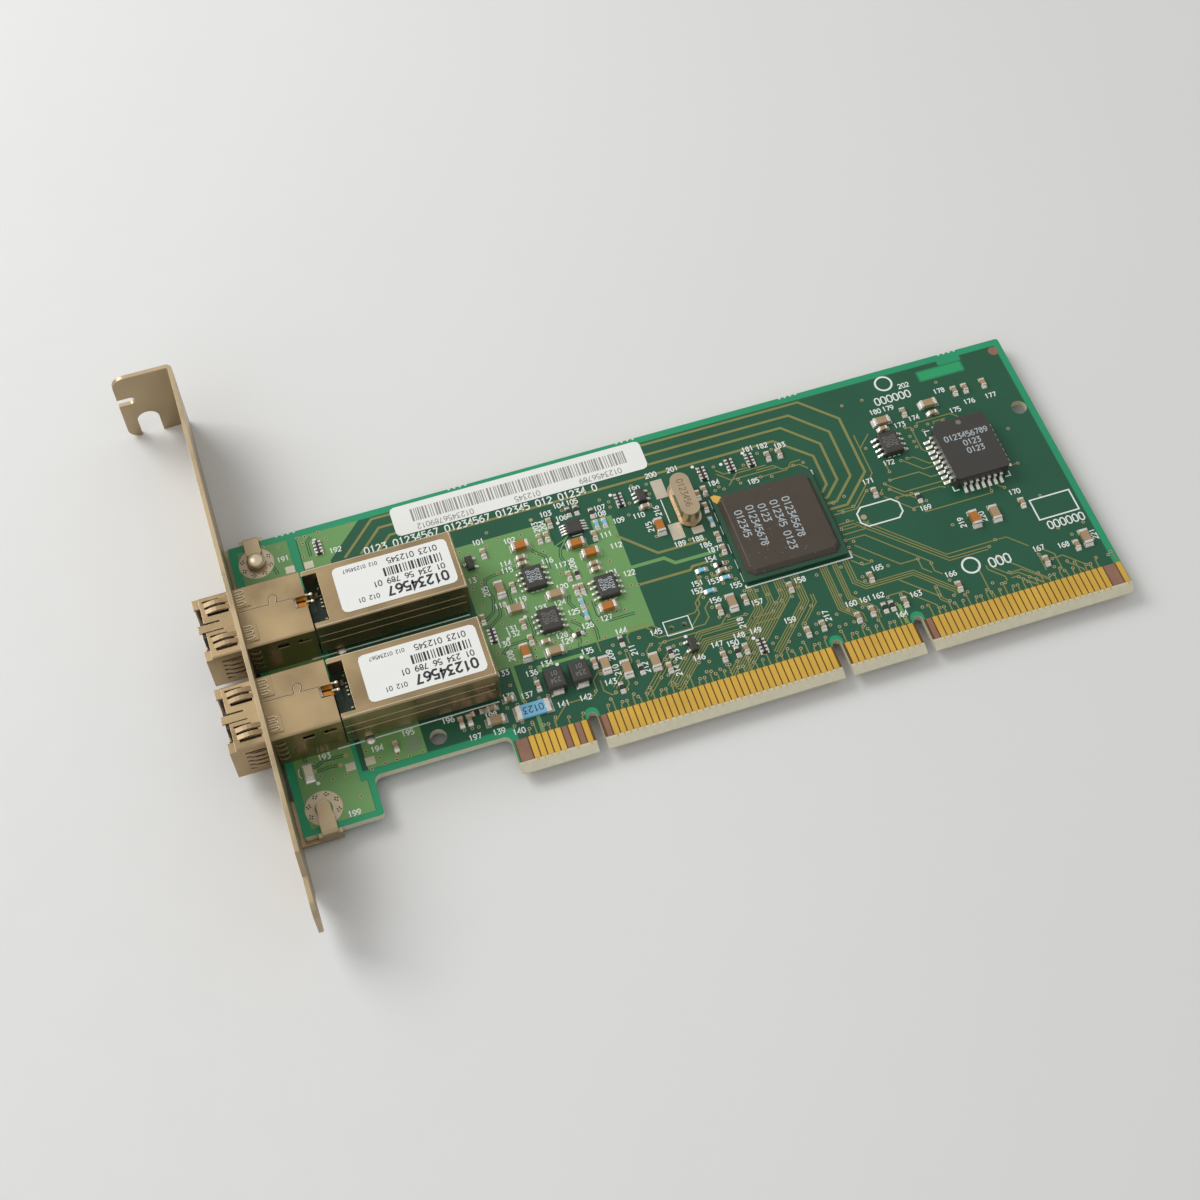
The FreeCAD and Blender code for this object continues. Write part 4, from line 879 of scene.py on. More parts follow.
@dataclass
class BoardCopper:
    """Copper under and through the solder mask: pours, traces, vias and bare pads.

    Places are board places, and test pads, the covered pad and the corner pad have a radius after theirs.
    """

    sunk: float = -0.002
    mask_height: float = 0.035
    via_height: float = 0.045
    wide: float = 0.55
    narrow: float = 0.26
    bundled: float = 0.23
    moat: float = 0.62
    strap: float = 0.75
    via_radius: float = 0.35
    hole_radius: float = 0.17
    contacts: int = 94
    contact_half: float = 0.5
    contact_ends: Place = (-4.55, -0.02)
    tail_half: float = 0.14
    tail_ends: Place = (-5.05, -4.58)
    via_heights: tuple[float, ...] = (1.35, 2.25, 1.5, 1.5, 2.6, 1.4)
    via_shifts: tuple[float, ...] = (0.0, 0.35, -0.3, 0.2, -0.2, 0.4)
    third_key: int = 63
    keys: tuple[int, ...] = (12, 13, 50, 51)
    blanks: tuple[int, ...] = (1, 2, 8, 10, 14, 63, 92, 93)
    pours: list[list[Place]] = field(default_factory=lambda: [
        [(-40.2, -5.5), (-28.2, -5.5), (-28.2, 0.9), (-29.4, 0.9), (-29.4, 9.8), (-30.3, 9.8), (-30.3, 56.2),
         (-40.2, 56.2)],
        [(-28.4, 56.2), (-15.8, 56.2), (-23.2, 48.8), (-23.2, 44.0), (-28.4, 44.0)],
        [(-27.5, 2.8), (-16.3, 2.8), (-16.3, 9.8), (-27.5, 9.8)],
        [(0.3, 15.0), (31.7, 15.0), (31.7, 41.5), (27.4, 41.5), (27.4, 36.2), (21.2, 36.2), (19.0, 38.2),
         (19.0, 43.8), (0.3, 43.8)],
    ])
    wide_traces: list[list[Place]] = field(default_factory=lambda: [
        [(-9.4, 55.6), (-13.3, 55.6), (-20.4, 48.5)],
        [(-9.4, 53.2), (-12.4, 53.2), (-17.2, 48.4)],
        [(-9.4, 50.9), (-10.8, 50.9), (-13.4, 48.3)],
        [(42.4, 55.5), (76.2, 55.5), (82.7, 49.0), (82.7, 35.2), (76.5, 29.0), (72.8, 29.0)],
        [(42.4, 53.0), (73.2, 53.0), (79.6, 46.6), (79.6, 35.2), (74.8, 30.4), (72.8, 30.4)],
        [(42.4, 50.6), (70.6, 50.6), (76.8, 44.4), (76.8, 35.2), (73.4, 31.8), (72.8, 31.8)],
        [(0.4, 48.0), (68.0, 48.0), (74.4, 42.0), (74.4, 34.8), (72.8, 33.2)],
        [(31.0, 36.7), (37.6, 30.2), (47.6, 30.2)],
        [(31.7, 24.5), (42.2, 24.5), (42.9, 25.2), (46.2, 25.2)],
        [(45.5, 21.8), (47.0, 21.8)],
    ])
    broad_traces: list[list[Place]] = field(default_factory=lambda: [
        [(31.7, 28.7), (38.3, 28.7), (40.0, 27.0), (48.2, 27.0)],
        [(3.4, 24.5), (3.4, 7.2)],
        [(5.0, 3.6), (5.0, 0.2)],
        [(8.2, 12.2), (8.2, 13.3), (16.6, 13.3), (17.4, 12.5), (17.4, 12.0)],
        [(77.2, 4.6), (77.2, 0.2)],
    ])
    fine_traces: list[list[Place]] = field(default_factory=lambda: [
        [(17.2, 15.2), (16.9, 16.6), (15.9, 17.6), (15.9, 19.6)],
        [(20.2, 19.6), (20.2, 12.8)],
        [(7.7, 0.3), (7.7, 1.3), (10.2, 3.8), (10.2, 4.3), (16.2, 4.3), (17.0, 5.1), (17.0, 7.4), (18.6, 9.0),
         (22.2, 9.0)],
        [(25.9, 12.8), (25.9, 14.4), (26.7, 15.2), (29.8, 15.2), (30.8, 14.2), (30.8, 13.0), (31.6, 12.2),
         (40.8, 12.2), (42.0, 13.4), (42.0, 15.6), (43.1, 16.7), (46.0, 16.7)],
        [(26.6, 15.9), (30.4, 15.9), (32.3, 14.0)],
        [(31.0, 11.0), (43.6, 11.0), (45.6, 13.0)],
        [(28.4, 9.4), (28.4, 10.2), (29.6, 11.4), (30.2, 11.4)],
        [(18.2, 7.0), (18.2, 4.6), (19.4, 3.4), (20.6, 3.4)],
        [(21.9, 3.4), (23.1, 4.6), (23.1, 5.6)],
        [(30.5, 9.7), (31.7, 10.9), (32.0, 10.9)],
        [(45.0, 11.7), (49.4, 11.7)],
        [(49.6, 10.6), (53.9, 10.6)],
        [(50.0, 9.2), (54.6, 9.2), (56.6, 11.2), (56.6, 12.4)],
        [(38.4, 15.2), (39.8, 15.2), (41.4, 16.8), (41.4, 17.8), (43.0, 19.4)],
        [(38.4, 12.6), (40.6, 14.8), (40.6, 17.2), (42.4, 19.0)],
        [(44.2, 24.6), (42.9, 23.3), (42.9, 20.4), (41.4, 18.9)],
        [(83.9, 44.2), (83.9, 34.4), (77.6, 28.1), (74.0, 28.1)],
        [(83.9, 40.7), (86.8, 43.6)],
        [(81.6, 31.2), (77.9, 27.5), (73.0, 27.5)],
        [(84.4, 30.2), (83.2, 29.0)],
        [(86.5, 31.7), (92.8, 31.7), (94.6, 29.9), (96.8, 29.9)],
        [(85.4, 31.0), (88.2, 28.2), (96.8, 28.2)],
        [(85.7, 29.7), (88.3, 27.1), (95.4, 27.1), (96.4, 26.6)],
        [(90.7, 35.4), (94.0, 32.1), (96.8, 32.1)],
        [(91.9, 35.4), (93.2, 35.4), (95.6, 33.0), (96.8, 33.0)],
        [(87.3, 33.6), (87.3, 35.6), (88.0, 36.3)],
        [(94.2, 42.4), (95.5, 42.4), (95.5, 36.6), (96.8, 35.3)],
        [(97.0, 42.2), (97.0, 43.0), (104.4, 43.0), (105.6, 41.8)],
        [(100.3, 41.6), (100.3, 42.2), (103.0, 42.2)],
        [(86.8, 27.4), (88.6, 27.4), (90.2, 25.8)],
        [(84.0, 28.4), (88.3, 24.1), (89.7, 24.1)],
        [(90.4, 24.6), (90.4, 22.5), (104.6, 22.5), (104.6, 24.0)],
        [(107.3, 22.8), (106.1, 24.0)],
        [(109.8, 27.4), (112.0, 27.4)],
        [(73.0, 22.6), (77.4, 22.6), (79.0, 24.2)],
        [(73.0, 21.3), (77.0, 21.3), (86.6, 11.7), (86.6, 9.4), (87.8, 8.2)],
        [(74.2, 19.7), (81.0, 12.9), (84.6, 12.9)],
        [(84.6, 12.9), (84.6, 10.6), (86.0, 9.2)],
        [(72.3, 16.7), (74.0, 15.0), (75.6, 15.0)],
        [(72.4, 18.6), (75.6, 15.4)],
        [(79.4, 9.6), (85.2, 3.9)],
        [(76.0, 7.0), (79.2, 7.0), (84.0, 2.2), (84.0, 0.3)],
        [(94.8, 7.6), (94.8, 0.3)],
        [(96.4, 7.4), (96.4, 6.4), (98.9, 3.9), (98.9, 2.9)],
        [(97.4, 7.4), (97.4, 6.6), (99.6, 4.4), (102.6, 4.4), (106.8, 0.4)],
        [(99.2, 9.0), (99.2, 8.4), (106.9, 0.7)],
        [(100.0, 4.0), (101.6, 4.0), (105.4, 0.4)],
        [(99.9, 3.2), (101.0, 3.2), (103.9, 0.4)],
        [(103.2, 2.4), (105.2, 0.4)],
        [(111.3, 3.3), (113.8, 0.8), (113.8, 0.3)],
        [(109.0, 4.8), (111.4, 4.8), (115.4, 0.8), (115.4, 0.3)],
        [(107.0, 2.7), (107.0, 7.2), (108.4, 7.2), (110.0, 5.6), (110.0, 2.0)],
        [(54.6, 45.0), (56.0, 43.6), (60.8, 43.6)],
        [(54.6, 44.0), (56.8, 41.8), (66.4, 41.8)],
        [(56.0, 40.6), (58.4, 43.0), (64.6, 43.0)],
        [(60.6, 40.6), (68.2, 40.6), (69.6, 42.0), (71.6, 42.0)],
        [(62.4, 42.4), (66.0, 42.4), (67.4, 41.0), (71.0, 41.0), (72.2, 39.8), (72.2, 38.4)],
    ])
    moated_traces: list[list[Place]] = field(default_factory=lambda: [
        [(22.7, 39.9), (21.2, 38.9), (18.4, 37.7), (18.0, 36.3), (18.2, 34.4), (19.1, 32.3), (18.7, 31.2),
         (17.9, 30.3)],
        [(21.9, 39.4), (19.8, 36.9), (19.4, 35.4), (20.0, 33.0), (20.0, 31.8)],
        [(12.0, 35.6), (5.4, 35.4), (4.0, 35.0), (3.7, 33.9), (4.3, 30.1), (3.5, 27.5), (1.3, 25.9),
         (0.6, 25.9)],
        [(5.0, 28.8), (4.6, 26.4), (2.4, 24.8), (0.7, 24.8)],
        [(18.3, 26.6), (17.8, 25.0), (18.8, 22.7), (20.4, 20.0), (20.9, 17.6), (20.7, 15.4)],
        [(15.7, 19.9), (17.3, 16.5), (16.8, 15.1)],
        [(9.6, 24.4), (9.6, 20.6), (8.6, 19.6), (4.2, 19.6), (2.6, 18.0)],
        [(16.9, 21.0), (18.6, 19.3), (18.6, 16.9)],
        [(22.2, 24.0), (22.2, 20.6), (24.0, 18.8), (29.0, 18.8)],
        [(9.4, 32.8), (7.4, 30.8), (7.4, 28.2)],
        [(16.6, 33.4), (16.6, 36.4), (14.4, 38.6)],
        [(-37.3, 6.4), (-36.2, 6.4), (-35.0, 7.2), (-30.8, 7.0)],
        [(-36.7, 5.5), (-34.9, 5.4), (-34.3, 5.6), (-32.2, 5.3)],
        [(-38.0, 9.9), (-38.0, 7.8)],
        [(-33.6, 49.0), (-34.4, 52.0), (-34.4, 54.6)],
        [(-26.6, 51.0), (-26.6, 54.4), (-25.6, 55.4)],
    ])
    bundles: list[tuple[list[Place], int, float]] = field(default_factory=lambda: [
        ([(31.5, 0.4), (39.6, 8.5), (48.0, 8.5), (51.6, 12.1), (51.6, 17.0)], 4, 0.45),
        ([(42.0, 0.4), (54.4, 12.8), (54.4, 17.0)], 3, 0.48),
        ([(44.6, 0.4), (57.4, 13.2), (57.4, 17.0)], 5, 0.46),
        ([(51.6, 2.0), (60.6, 11.0), (60.6, 17.0)], 4, 0.46),
        ([(66.6, 17.0), (66.6, 7.4), (69.4, 4.6), (69.4, 3.0)], 4, 0.42),
        ([(68.9, 17.0), (68.9, 9.0), (72.6, 5.3), (72.6, 3.0)], 3, 0.42),
        ([(71.2, 17.0), (71.2, 12.0), (72.9, 10.3), (82.6, 10.3), (88.9, 4.0), (88.9, 3.2)], 3, 0.5),
        ([(76.4, 24.4), (90.4, 10.9), (98.4, 10.9)], 2, 0.6),
        ([(77.9, 24.4), (90.3, 12.1), (102.8, 12.1), (106.1, 8.8)], 1, 0.5),
        ([(30.2, 1.6), (39.2, 10.6), (47.0, 10.6)], 3, 0.5),
        ([(25.6, 1.2), (29.9, 5.5), (33.0, 8.6)], 3, 0.6),
        ([(20.3, 4.6), (24.8, 9.1), (24.8, 11.0)], 2, 0.6),
        ([(62.3, 12.0), (62.3, 10.2), (58.4, 6.3), (58.4, 4.0)], 2, 0.5),
        ([(85.4, 6.0), (85.4, 3.2), (86.8, 1.8)], 2, 0.5),
        ([(76.3, 24.4), (73.0, 24.4)], 3, 0.7),
    ])
    loose_vias: list[Place] = field(default_factory=lambda: [
        (-36.4, 7.3), (-33.6, 6.1), (-36.1, 4.3), (-34.1, 3.0), (-31.6, 3.1), (-30.0, -1.9), (-27.0, 6.5),
        (-24.8, 4.5), (-21.5, 4.2), (-24.2, 3.1), (-22.0, 3.1), (-19.6, 3.1), (-17.1, 3.1), (-26.8, 2.7),
        (-8.7, 5.0), (-7.2, 4.9), (-6.0, 4.8), (-35.0, 56.0), (-32.1, 55.2), (-28.2, 55.9), (-26.7, 55.8),
        (-27.4, 54.4), (-22.8, 54.0), (-17.6, 55.9), (-28.0, 51.2), (-24.0, 56.0), (7.3, 45.3),
        (1.1, 42.6), (13.5, 42.7), (2.7, 41.7), (6.4, 42.3), (16.6, 37.6), (14.9, 37.5), (2.6, 36.3),
        (6.8, 35.6), (1.2, 33.9), (2.0, 29.3), (3.2, 34.4), (18.2, 31.7), (9.0, 43.3), (0.9, 15.6),
        (4.8, 15.6), (8.4, 15.6), (15.2, 15.3), (18.4, 15.6), (22.0, 15.5), (1.9, 18.6), (5.1, 18.6),
        (9.4, 18.7), (12.8, 17.5), (8.7, 17.2), (19.0, 17.4), (17.6, 18.8), (21.7, 19.5), (25.8, 20.2),
        (27.4, 20.2), (22.5, 24.0), (21.2, 23.5), (17.7, 21.0), (30.3, 24.9), (31.7, 24.5), (4.4, 24.7),
        (8.9, 24.4), (28.0, 29.1), (26.1, 27.8), (22.3, 27.4), (28.1, 31.4), (2.0, 11.3), (6.8, 11.3),
        (6.7, 13.8), (22.8, 13.4), (28.0, 13.4), (23.5, 11.4), (24.8, 11.5), (29.6, 11.2), (26.2, 8.6),
        (27.5, 9.7), (30.8, 9.7), (32.3, 11.0), (0.1, 6.9), (2.1, 7.0), (3.6, 7.0), (6.3, 7.0), (8.0, 7.0),
        (1.9, 3.2), (3.6, 2.2), (0.3, 2.9), (16.7, 5.1), (18.8, 8.3), (20.2, 3.7), (22.4, 3.6),
        (24.4, 4.3), (29.2, 3.9), (30.6, 4.0), (31.1, 7.4), (32.7, 6.3), (34.8, 6.4), (33.6, 9.6),
        (35.0, 9.6), (36.4, 5.7), (36.9, 4.7), (38.8, 4.3), (37.6, 2.4), (40.2, 2.1), (43.3, 15.3),
        (45.6, 12.5), (43.9, 12.8), (48.8, 11.8), (54.1, 10.8), (43.4, 22.4), (45.8, 22.4), (44.6, 21.9),
        (42.5, 17.9), (47.2, 19.7), (50.4, 16.8), (51.4, 16.6), (54.4, 14.6), (52.7, 16.1), (56.9, 14.8),
        (58.6, 12.7), (56.4, 12.4), (55.2, 12.4), (60.4, 14.3), (59.4, 9.7), (61.3, 9.6), (58.8, 6.3),
        (52.6, 5.2), (54.5, 3.6), (51.5, 4.2), (43.2, 5.0), (41.9, 6.2), (47.3, 6.8), (47.4, 3.4),
        (45.9, 2.8), (43.8, 2.7), (42.2, 2.5), (56.3, 6.6), (56.9, 4.4), (60.1, 3.7), (60.7, 5.5),
        (62.0, 7.6), (64.7, 3.6), (63.2, 4.5), (66.0, 3.7), (65.2, 6.3), (67.6, 6.5), (67.4, 10.0),
        (70.4, 9.6), (70.4, 6.2), (73.0, 4.6), (73.1, 11.5), (73.0, 12.5), (69.9, 15.9), (64.8, 15.7),
        (67.7, 3.7), (69.3, 2.5), (74.0, 15.4), (76.0, 15.3), (78.6, 13.3), (84.6, 12.9), (86.7, 11.2),
        (75.8, 6.7), (78.4, 6.5), (76.8, 4.8), (81.2, 2.6), (85.3, 4.0), (85.4, 5.9), (87.9, 3.1),
        (88.5, 6.5), (90.7, 3.0), (96.0, 3.3), (100.0, 4.5), (101.3, 3.0), (98.3, 2.6), (103.3, 2.3),
        (107.1, 6.4), (109.1, 4.7), (108.7, 2.9), (111.6, 3.3), (119.7, 2.1), (115.1, 8.6), (118.4, 10.5),
        (113.2, 10.8), (113.1, 18.9), (94.1, 18.0), (98.8, 11.1), (100.5, 12.2), (88.4, 23.7),
        (107.3, 22.9), (104.6, 23.0), (86.3, 27.3), (89.4, 27.4), (87.3, 33.6), (90.5, 35.4), (91.9, 35.5),
        (86.6, 31.7), (85.3, 31.2), (85.7, 29.7), (85.0, 40.4), (84.4, 51.8), (88.8, 51.8), (113.9, 35.8),
        (104.8, 51.2), (99.1, 42.0), (96.6, 42.2), (97.6, 40.8), (95.6, 41.7), (94.4, 42.8), (102.3, 41.7),
        (94.8, 38.9), (94.5, 40.3), (94.8, 37.5), (112.2, 27.4), (91.5, 24.9), (77.4, 28.2), (83.8, 29.2),
        (81.3, 30.8), (71.9, 41.2), (69.8, 41.2), (64.8, 40.0), (62.7, 40.6), (58.4, 40.5), (54.8, 40.2),
        (54.0, 41.0), (53.0, 40.4), (60.4, 44.4), (58.2, 41.5), (64.0, 46.2), (54.6, 45.9), (67.0, 46.2),
        (25.8, 46.4), (25.9, 45.5), (22.8, 45.6), (30.6, 45.6), (32.2, 44.6), (32.1, 43.3), (30.2, 41.8),
        (37.6, 46.8), (40.6, 46.2), (36.0, 43.0), (35.0, 40.4), (44.4, 31.1), (38.5, 33.9), (40.4, 43.8),
        (46.6, 24.3), (48.9, 25.8), (49.6, 24.0), (49.7, 22.6), (49.8, 19.8), (73.2, 23.9), (75.1, 25.4),
        (73.0, 21.3), (74.4, 20.6), (72.9, 18.5), (74.0, 30.2), (76.6, 31.0), (75.0, 27.6), (73.0, 19.6),
    ])
    test_pads: list[Triple] = field(default_factory=lambda: [
        (16.4, 45.4, 0.4), (78.4, 25.2, 0.6), (-30.7, 6.9, 0.45), (-32.1, 5.3, 0.45), (-36.8, 5.5, 0.4)])
    covered_pad: Triple = (-18.3, 5.4, 1.6)
    corner_pad: Triple = (119.2, 54.9, 1.05)
    bare_pads: list[tuple[float, float, float, float]] = field(default_factory=lambda: [
        (-31.1, 49.3, 1.8, 1.6), (-27.4, 49.2, 1.8, 1.6), (-30.4, 4.4, 1.8, 1.6), (-26.7, 4.4, 1.8, 1.6),
        (42.6, 44.3, 2.4, 4.5), (42.65, 33.8, 2.5, 3.8)])

    def build(self, wear: Wear) -> None:
        """Build the copper, its vias and its bare pads.

        Args:
            wear: The materials.
        """
        self.build_moats(wear)
        vias = self.loose_vias + self.build_traces(wear)
        rings = FlatWork(0.0, self.via_height)
        # Dark discs in the vias: painted shade inside the holes.
        holes = FlatWork(0.0, self.via_height + 0.003)
        for u, v in vias:
            rings.disc(u, v, self.via_radius, 12)
            holes.disc(u, v, self.hole_radius, 8)
        for u, v, radius in self.test_pads:
            rings.disc(u, v, radius, 24)
        rings.piece("via_rings", wear["ring"], "solder")
        holes.piece("via_holes", wear["hole"], "green_laminate")
        self.build_underside(vias, wear)
        self.build_pads(wear)

    def build_moats(self, wear: Wear) -> None:
        """Build the copper areas and the lines that run between clear stripes in them.

        Args:
            wear: The materials.
        """
        pours = FlatWork(self.sunk, self.mask_height)
        for corners in self.pours:
            pours.outline(corners)
        pours.piece("copper_pours", wear["pour"], "green_laminate")
        moats = FlatWork(self.sunk, self.mask_height + 0.002)
        bands = FlatWork(self.sunk, self.mask_height + 0.012)
        for points in self.moated_traces:
            moats.line(points, self.moat)
            bands.line(points, self.narrow)
        moats.piece("trace_moats", wear["moat"], "green_laminate")
        bands.piece("moated_traces", wear["pour"], "green_laminate")

    def build_traces(self, wear: Wear) -> list[Place]:
        """Build the lines outside the copper areas.

        Args:
            wear: The materials.

        Returns:
            The places of the vias that the contacts run to.
        """
        traces = FlatWork(self.sunk, self.mask_height + 0.004)
        for points in self.wide_traces:
            traces.line(points, self.wide)
        for points in self.fine_traces:
            traces.line(points, self.narrow)
        for points, count, step in self.bundles:
            traces.bundle(points, count, step, self.bundled)
        vias = self.contact_vias(traces)
        traces.piece("copper_traces", wear["trace"], "green_laminate")
        straps = FlatWork(self.sunk, self.mask_height + 0.002)
        for points in self.broad_traces:
            straps.line(points, self.strap)
        straps.piece("copper_straps", wear["pour"], "green_laminate")
        return vias

    def build_underside(self, vias: list[Place], wear: Wear) -> None:
        """Show the same vias on the solder side, where they come out.

        Args:
            vias: The places of all vias.
            wear: The materials.
        """
        face = -BOARD_THICKNESS
        rings = FlatWork(face - self.via_height, face + 0.002)
        # Dark discs in the vias on the solder side: painted shade inside the holes.
        holes = FlatWork(face - self.via_height - 0.003, face + 0.002)
        for u, v in vias:
            rings.disc(u, v, self.via_radius - 0.02, 12)
            holes.disc(u, v, self.hole_radius - 0.02, 8)
        rings.piece("via_rings_under", wear["ring"], "solder")
        holes.piece("via_holes_under", wear["hole"], "green_laminate")

    def build_pads(self, wear: Wear) -> None:
        """Build the covered and the bare pads, the blank contacts and the contacts' plating tails.

        Args:
            wear: The materials.
        """
        covered = FlatWork(0.0, self.via_height)
        covered.disc(*self.covered_pad, 32)
        covered.piece("covered_pads", wear["covered"], "green_laminate")
        half = self.contact_half
        low, high = self.contact_ends
        blanks = FlatWork(0.0, 0.03)
        for number in self.blanks:
            u = self.contact_middle(number)
            reach = CONTACT_STEP - half if number + 1 in self.blanks else half
            blanks.box((u - half, low), (u + reach, high))
        blanks.disc(*self.corner_pad, 32)
        blanks.piece("blank_contacts", wear["blank"], "gold_plating")
        pads = FlatWork(0.0, 0.05)
        for u, v, width, height in self.bare_pads:
            pads.box((u - width / 2, v - height / 2), (u + width / 2, v + height / 2))
        pads.piece("bare_pads", wear["pad"], "solder")
        low, high = self.tail_ends
        tails = FlatWork(0.0, 0.03)
        for _, u in self.plated_contacts():
            tails.box((u - self.tail_half, low), (u + self.tail_half, high))
        tails.piece("plating_tails", wear["gold"], "gold_plating")

    def contact_middle(self, number: int) -> float:
        """Return a contact's place along the card; the third key takes the room of two."""
        return CONTACT_STEP * (number - 1 + (2 if number >= self.third_key else 0))

    def plated_contacts(self) -> list[tuple[int, float]]:
        """Return the numbers of the gold contacts, each with its place along the card."""
        left_out = self.keys + self.blanks
        return [(n, self.contact_middle(n)) for n in range(1, self.contacts + 1) if n not in left_out]

    def contact_vias(self, traces: FlatWork) -> list[Place]:
        """Draw the short runs from the contacts to their vias.

        Args:
            traces: The work that the runs join.

        Returns:
            The places of the vias.
        """
        vias = []
        for number, u in self.plated_contacts():
            height = self.via_heights[number % len(self.via_heights)]
            shift = self.via_shifts[number % len(self.via_shifts)]
            knee = height - abs(shift) - 0.2
            bent = knee + abs(shift) + 0.01
            traces.line([(u, 0.0), (u, knee), (u + shift, bent), (u + shift, height)], self.narrow)
            vias.append((u + shift, height))
        return vias


@dataclass
class BracketRings:
    """The tinned rings round the bracket's two holes, with their small vias as dark dots of painted shade, and
    the clip's button in the paler metal of painted highlight.
    """

    places: tuple[Place, ...] = ((-37.0, 52.7), (-37.0, -2.1))
    outer: float = 3.45
    inner: float = 1.66
    thickness: float = 0.05
    groups: int = 8
    group: tuple[Place, ...] = ((2.5, 0.0), (2.8, -0.13), (2.8, 0.13), (3.12, 0.03))
    button: tuple[Place, ...] = (
        (1.83, 0.84), (1.84, 1.0), (1.74, 1.18), (1.5, 1.33), (1.15, 1.44), (0.7, 1.51), (0.3, 1.54),
        (0.04, 1.55))

    def build(self, wear: Wear) -> None:
        """Build the rings on both faces of the board, and the button in the upper one.

        Args:
            wear: The materials.
        """
        rings = FlatWork(0.0, self.thickness + 0.005)
        under = FlatWork(-BOARD_THICKNESS - self.thickness, -BOARD_THICKNESS)
        # Dark dots for the small vias round the rings: painted shade inside their holes.
        dots = FlatWork(0.0, self.thickness + 0.01)
        step = 2 * math.pi / self.groups
        for u, v in self.places:
            rings.ring(u, v, self.outer, self.inner, 40)
            under.ring(u, v, self.outer, self.inner, 40)
            for turn in range(self.groups):
                for reach, spread in self.group:
                    angle = step * (turn + 0.5) + spread
                    dots.disc(u + reach * math.cos(angle), v + reach * math.sin(angle), 0.16, 8)
        rings.piece("ring_pads", wear["ring_pad"], "solder")
        under.piece("ring_pads_under", wear["ring_pad"], "solder")
        dots.piece("ring_vias", wear["hole"], "green_laminate")
        # The clip's button wears the paler metal: a painted highlight on its dome.
        button = bmesh.new()
        round_form(button, *self.places[0], self.button, 32)
        piece = to_piece("clip_button_face", button, wear["bright"])
        for polygon in piece.data.polygons:
            polygon.use_smooth = True


class Reading(Enum):
    """Which way a row of digits reads: its step along the card and its step above the contacts."""

    ALONG = (1, 0)
    UP = (0, 1)
    BACK = (-1, 0)
    DOWN = (0, -1)


@dataclass(frozen=True)
class DigitStyle:
    """How digits are drawn: their height, the width of their strokes and the way they read."""

    height: float
    weight: float
    reading: Reading = Reading.ALONG


class Stroke:
    """Plain digits drawn with single strokes, as board print has them."""

    RISE = 4.0
    STEP = 3.1
    GAP = 0.9
    SHAPES: dict[str, list[Place]] = {
        "0": [(0.0, 0.8), (0.0, 3.2), (0.7, 4.0), (1.5, 4.0), (2.2, 3.2), (2.2, 0.8), (1.5, 0.0), (0.7, 0.0),
              (0.0, 0.8)],
        "1": [(0.5, 3.3), (1.2, 4.0), (1.2, 0.0)],
        "2": [(0.0, 3.2), (0.7, 4.0), (1.5, 4.0), (2.2, 3.2), (2.2, 2.6), (0.0, 0.0), (2.2, 0.0)],
        "3": [(0.0, 4.0), (2.2, 4.0), (1.0, 2.4), (1.6, 2.3), (2.2, 1.6), (2.2, 0.8), (1.5, 0.0), (0.0, 0.0)],
        "4": [(1.7, 0.0), (1.7, 4.0), (0.0, 1.3), (2.4, 1.3)],
        "5": [(2.1, 4.0), (0.1, 4.0), (0.0, 2.3), (1.4, 2.5), (2.2, 1.7), (2.2, 0.8), (1.5, 0.0), (0.0, 0.0)],
        "6": [(1.9, 4.0), (0.7, 3.4), (0.0, 2.0), (0.0, 0.8), (0.7, 0.0), (1.5, 0.0), (2.2, 0.8), (2.2, 1.6),
              (1.5, 2.3), (0.1, 1.9)],
        "7": [(0.0, 4.0), (2.2, 4.0), (0.8, 0.0)],
        "8": [(0.6, 2.2), (0.0, 3.0), (0.7, 4.0), (1.5, 4.0), (2.2, 3.0), (0.6, 2.2), (0.0, 1.2), (0.7, 0.0),
              (1.5, 0.0), (2.2, 1.2), (1.6, 2.2)],
        "9": [(0.3, 0.0), (1.5, 0.6), (2.2, 2.0), (2.2, 3.2), (1.5, 4.0), (0.7, 4.0), (0.0, 3.2), (0.0, 2.4),
              (0.7, 1.7), (2.1, 2.1)],
    }

    @classmethod
    def write(cls, work: FlatWork, digits: str, place: Place, style: DigitStyle) -> None:
        """Write digits, centred on a place.

        Args:
            work: The print it joins.
            digits: The digits; a space leaves one out.
            place: Place of their middle, along the card and above the contacts.
            style: How they are drawn.
        """
        right, up = style.reading.value
        unit = style.height / cls.RISE
        width = (len(digits) * cls.STEP - cls.GAP) * unit
        for index, digit in enumerate(digits):
            points = []
            for across, level in cls.SHAPES.get(digit, []):
                along = (across + cls.STEP * index) * unit - width / 2
                rise = (level - cls.RISE / 2) * unit
                points.append((place[0] + along * right - rise * up, place[1] + along * up + rise * right))
            if points:
                work.line(points, style.weight)


@dataclass(frozen=True)
class PrintedRows:
    """Rows of digits on one kind of part, as one piece; each row is its digits and their middle."""

    piece: str
    finish: str
    slot: str
    face: float
    thickness: float
    style: DigitStyle
    rows: tuple[tuple[str, Place], ...]

    def build(self, wear: Wear) -> None:
        """Build the piece.

        Args:
            wear: The materials.
        """
        work = FlatWork(self.face, self.face + self.thickness)
        for digits, place in self.rows:
            Stroke.write(work, digits, place, self.style)
        work.piece(self.piece, wear[self.finish], self.slot)


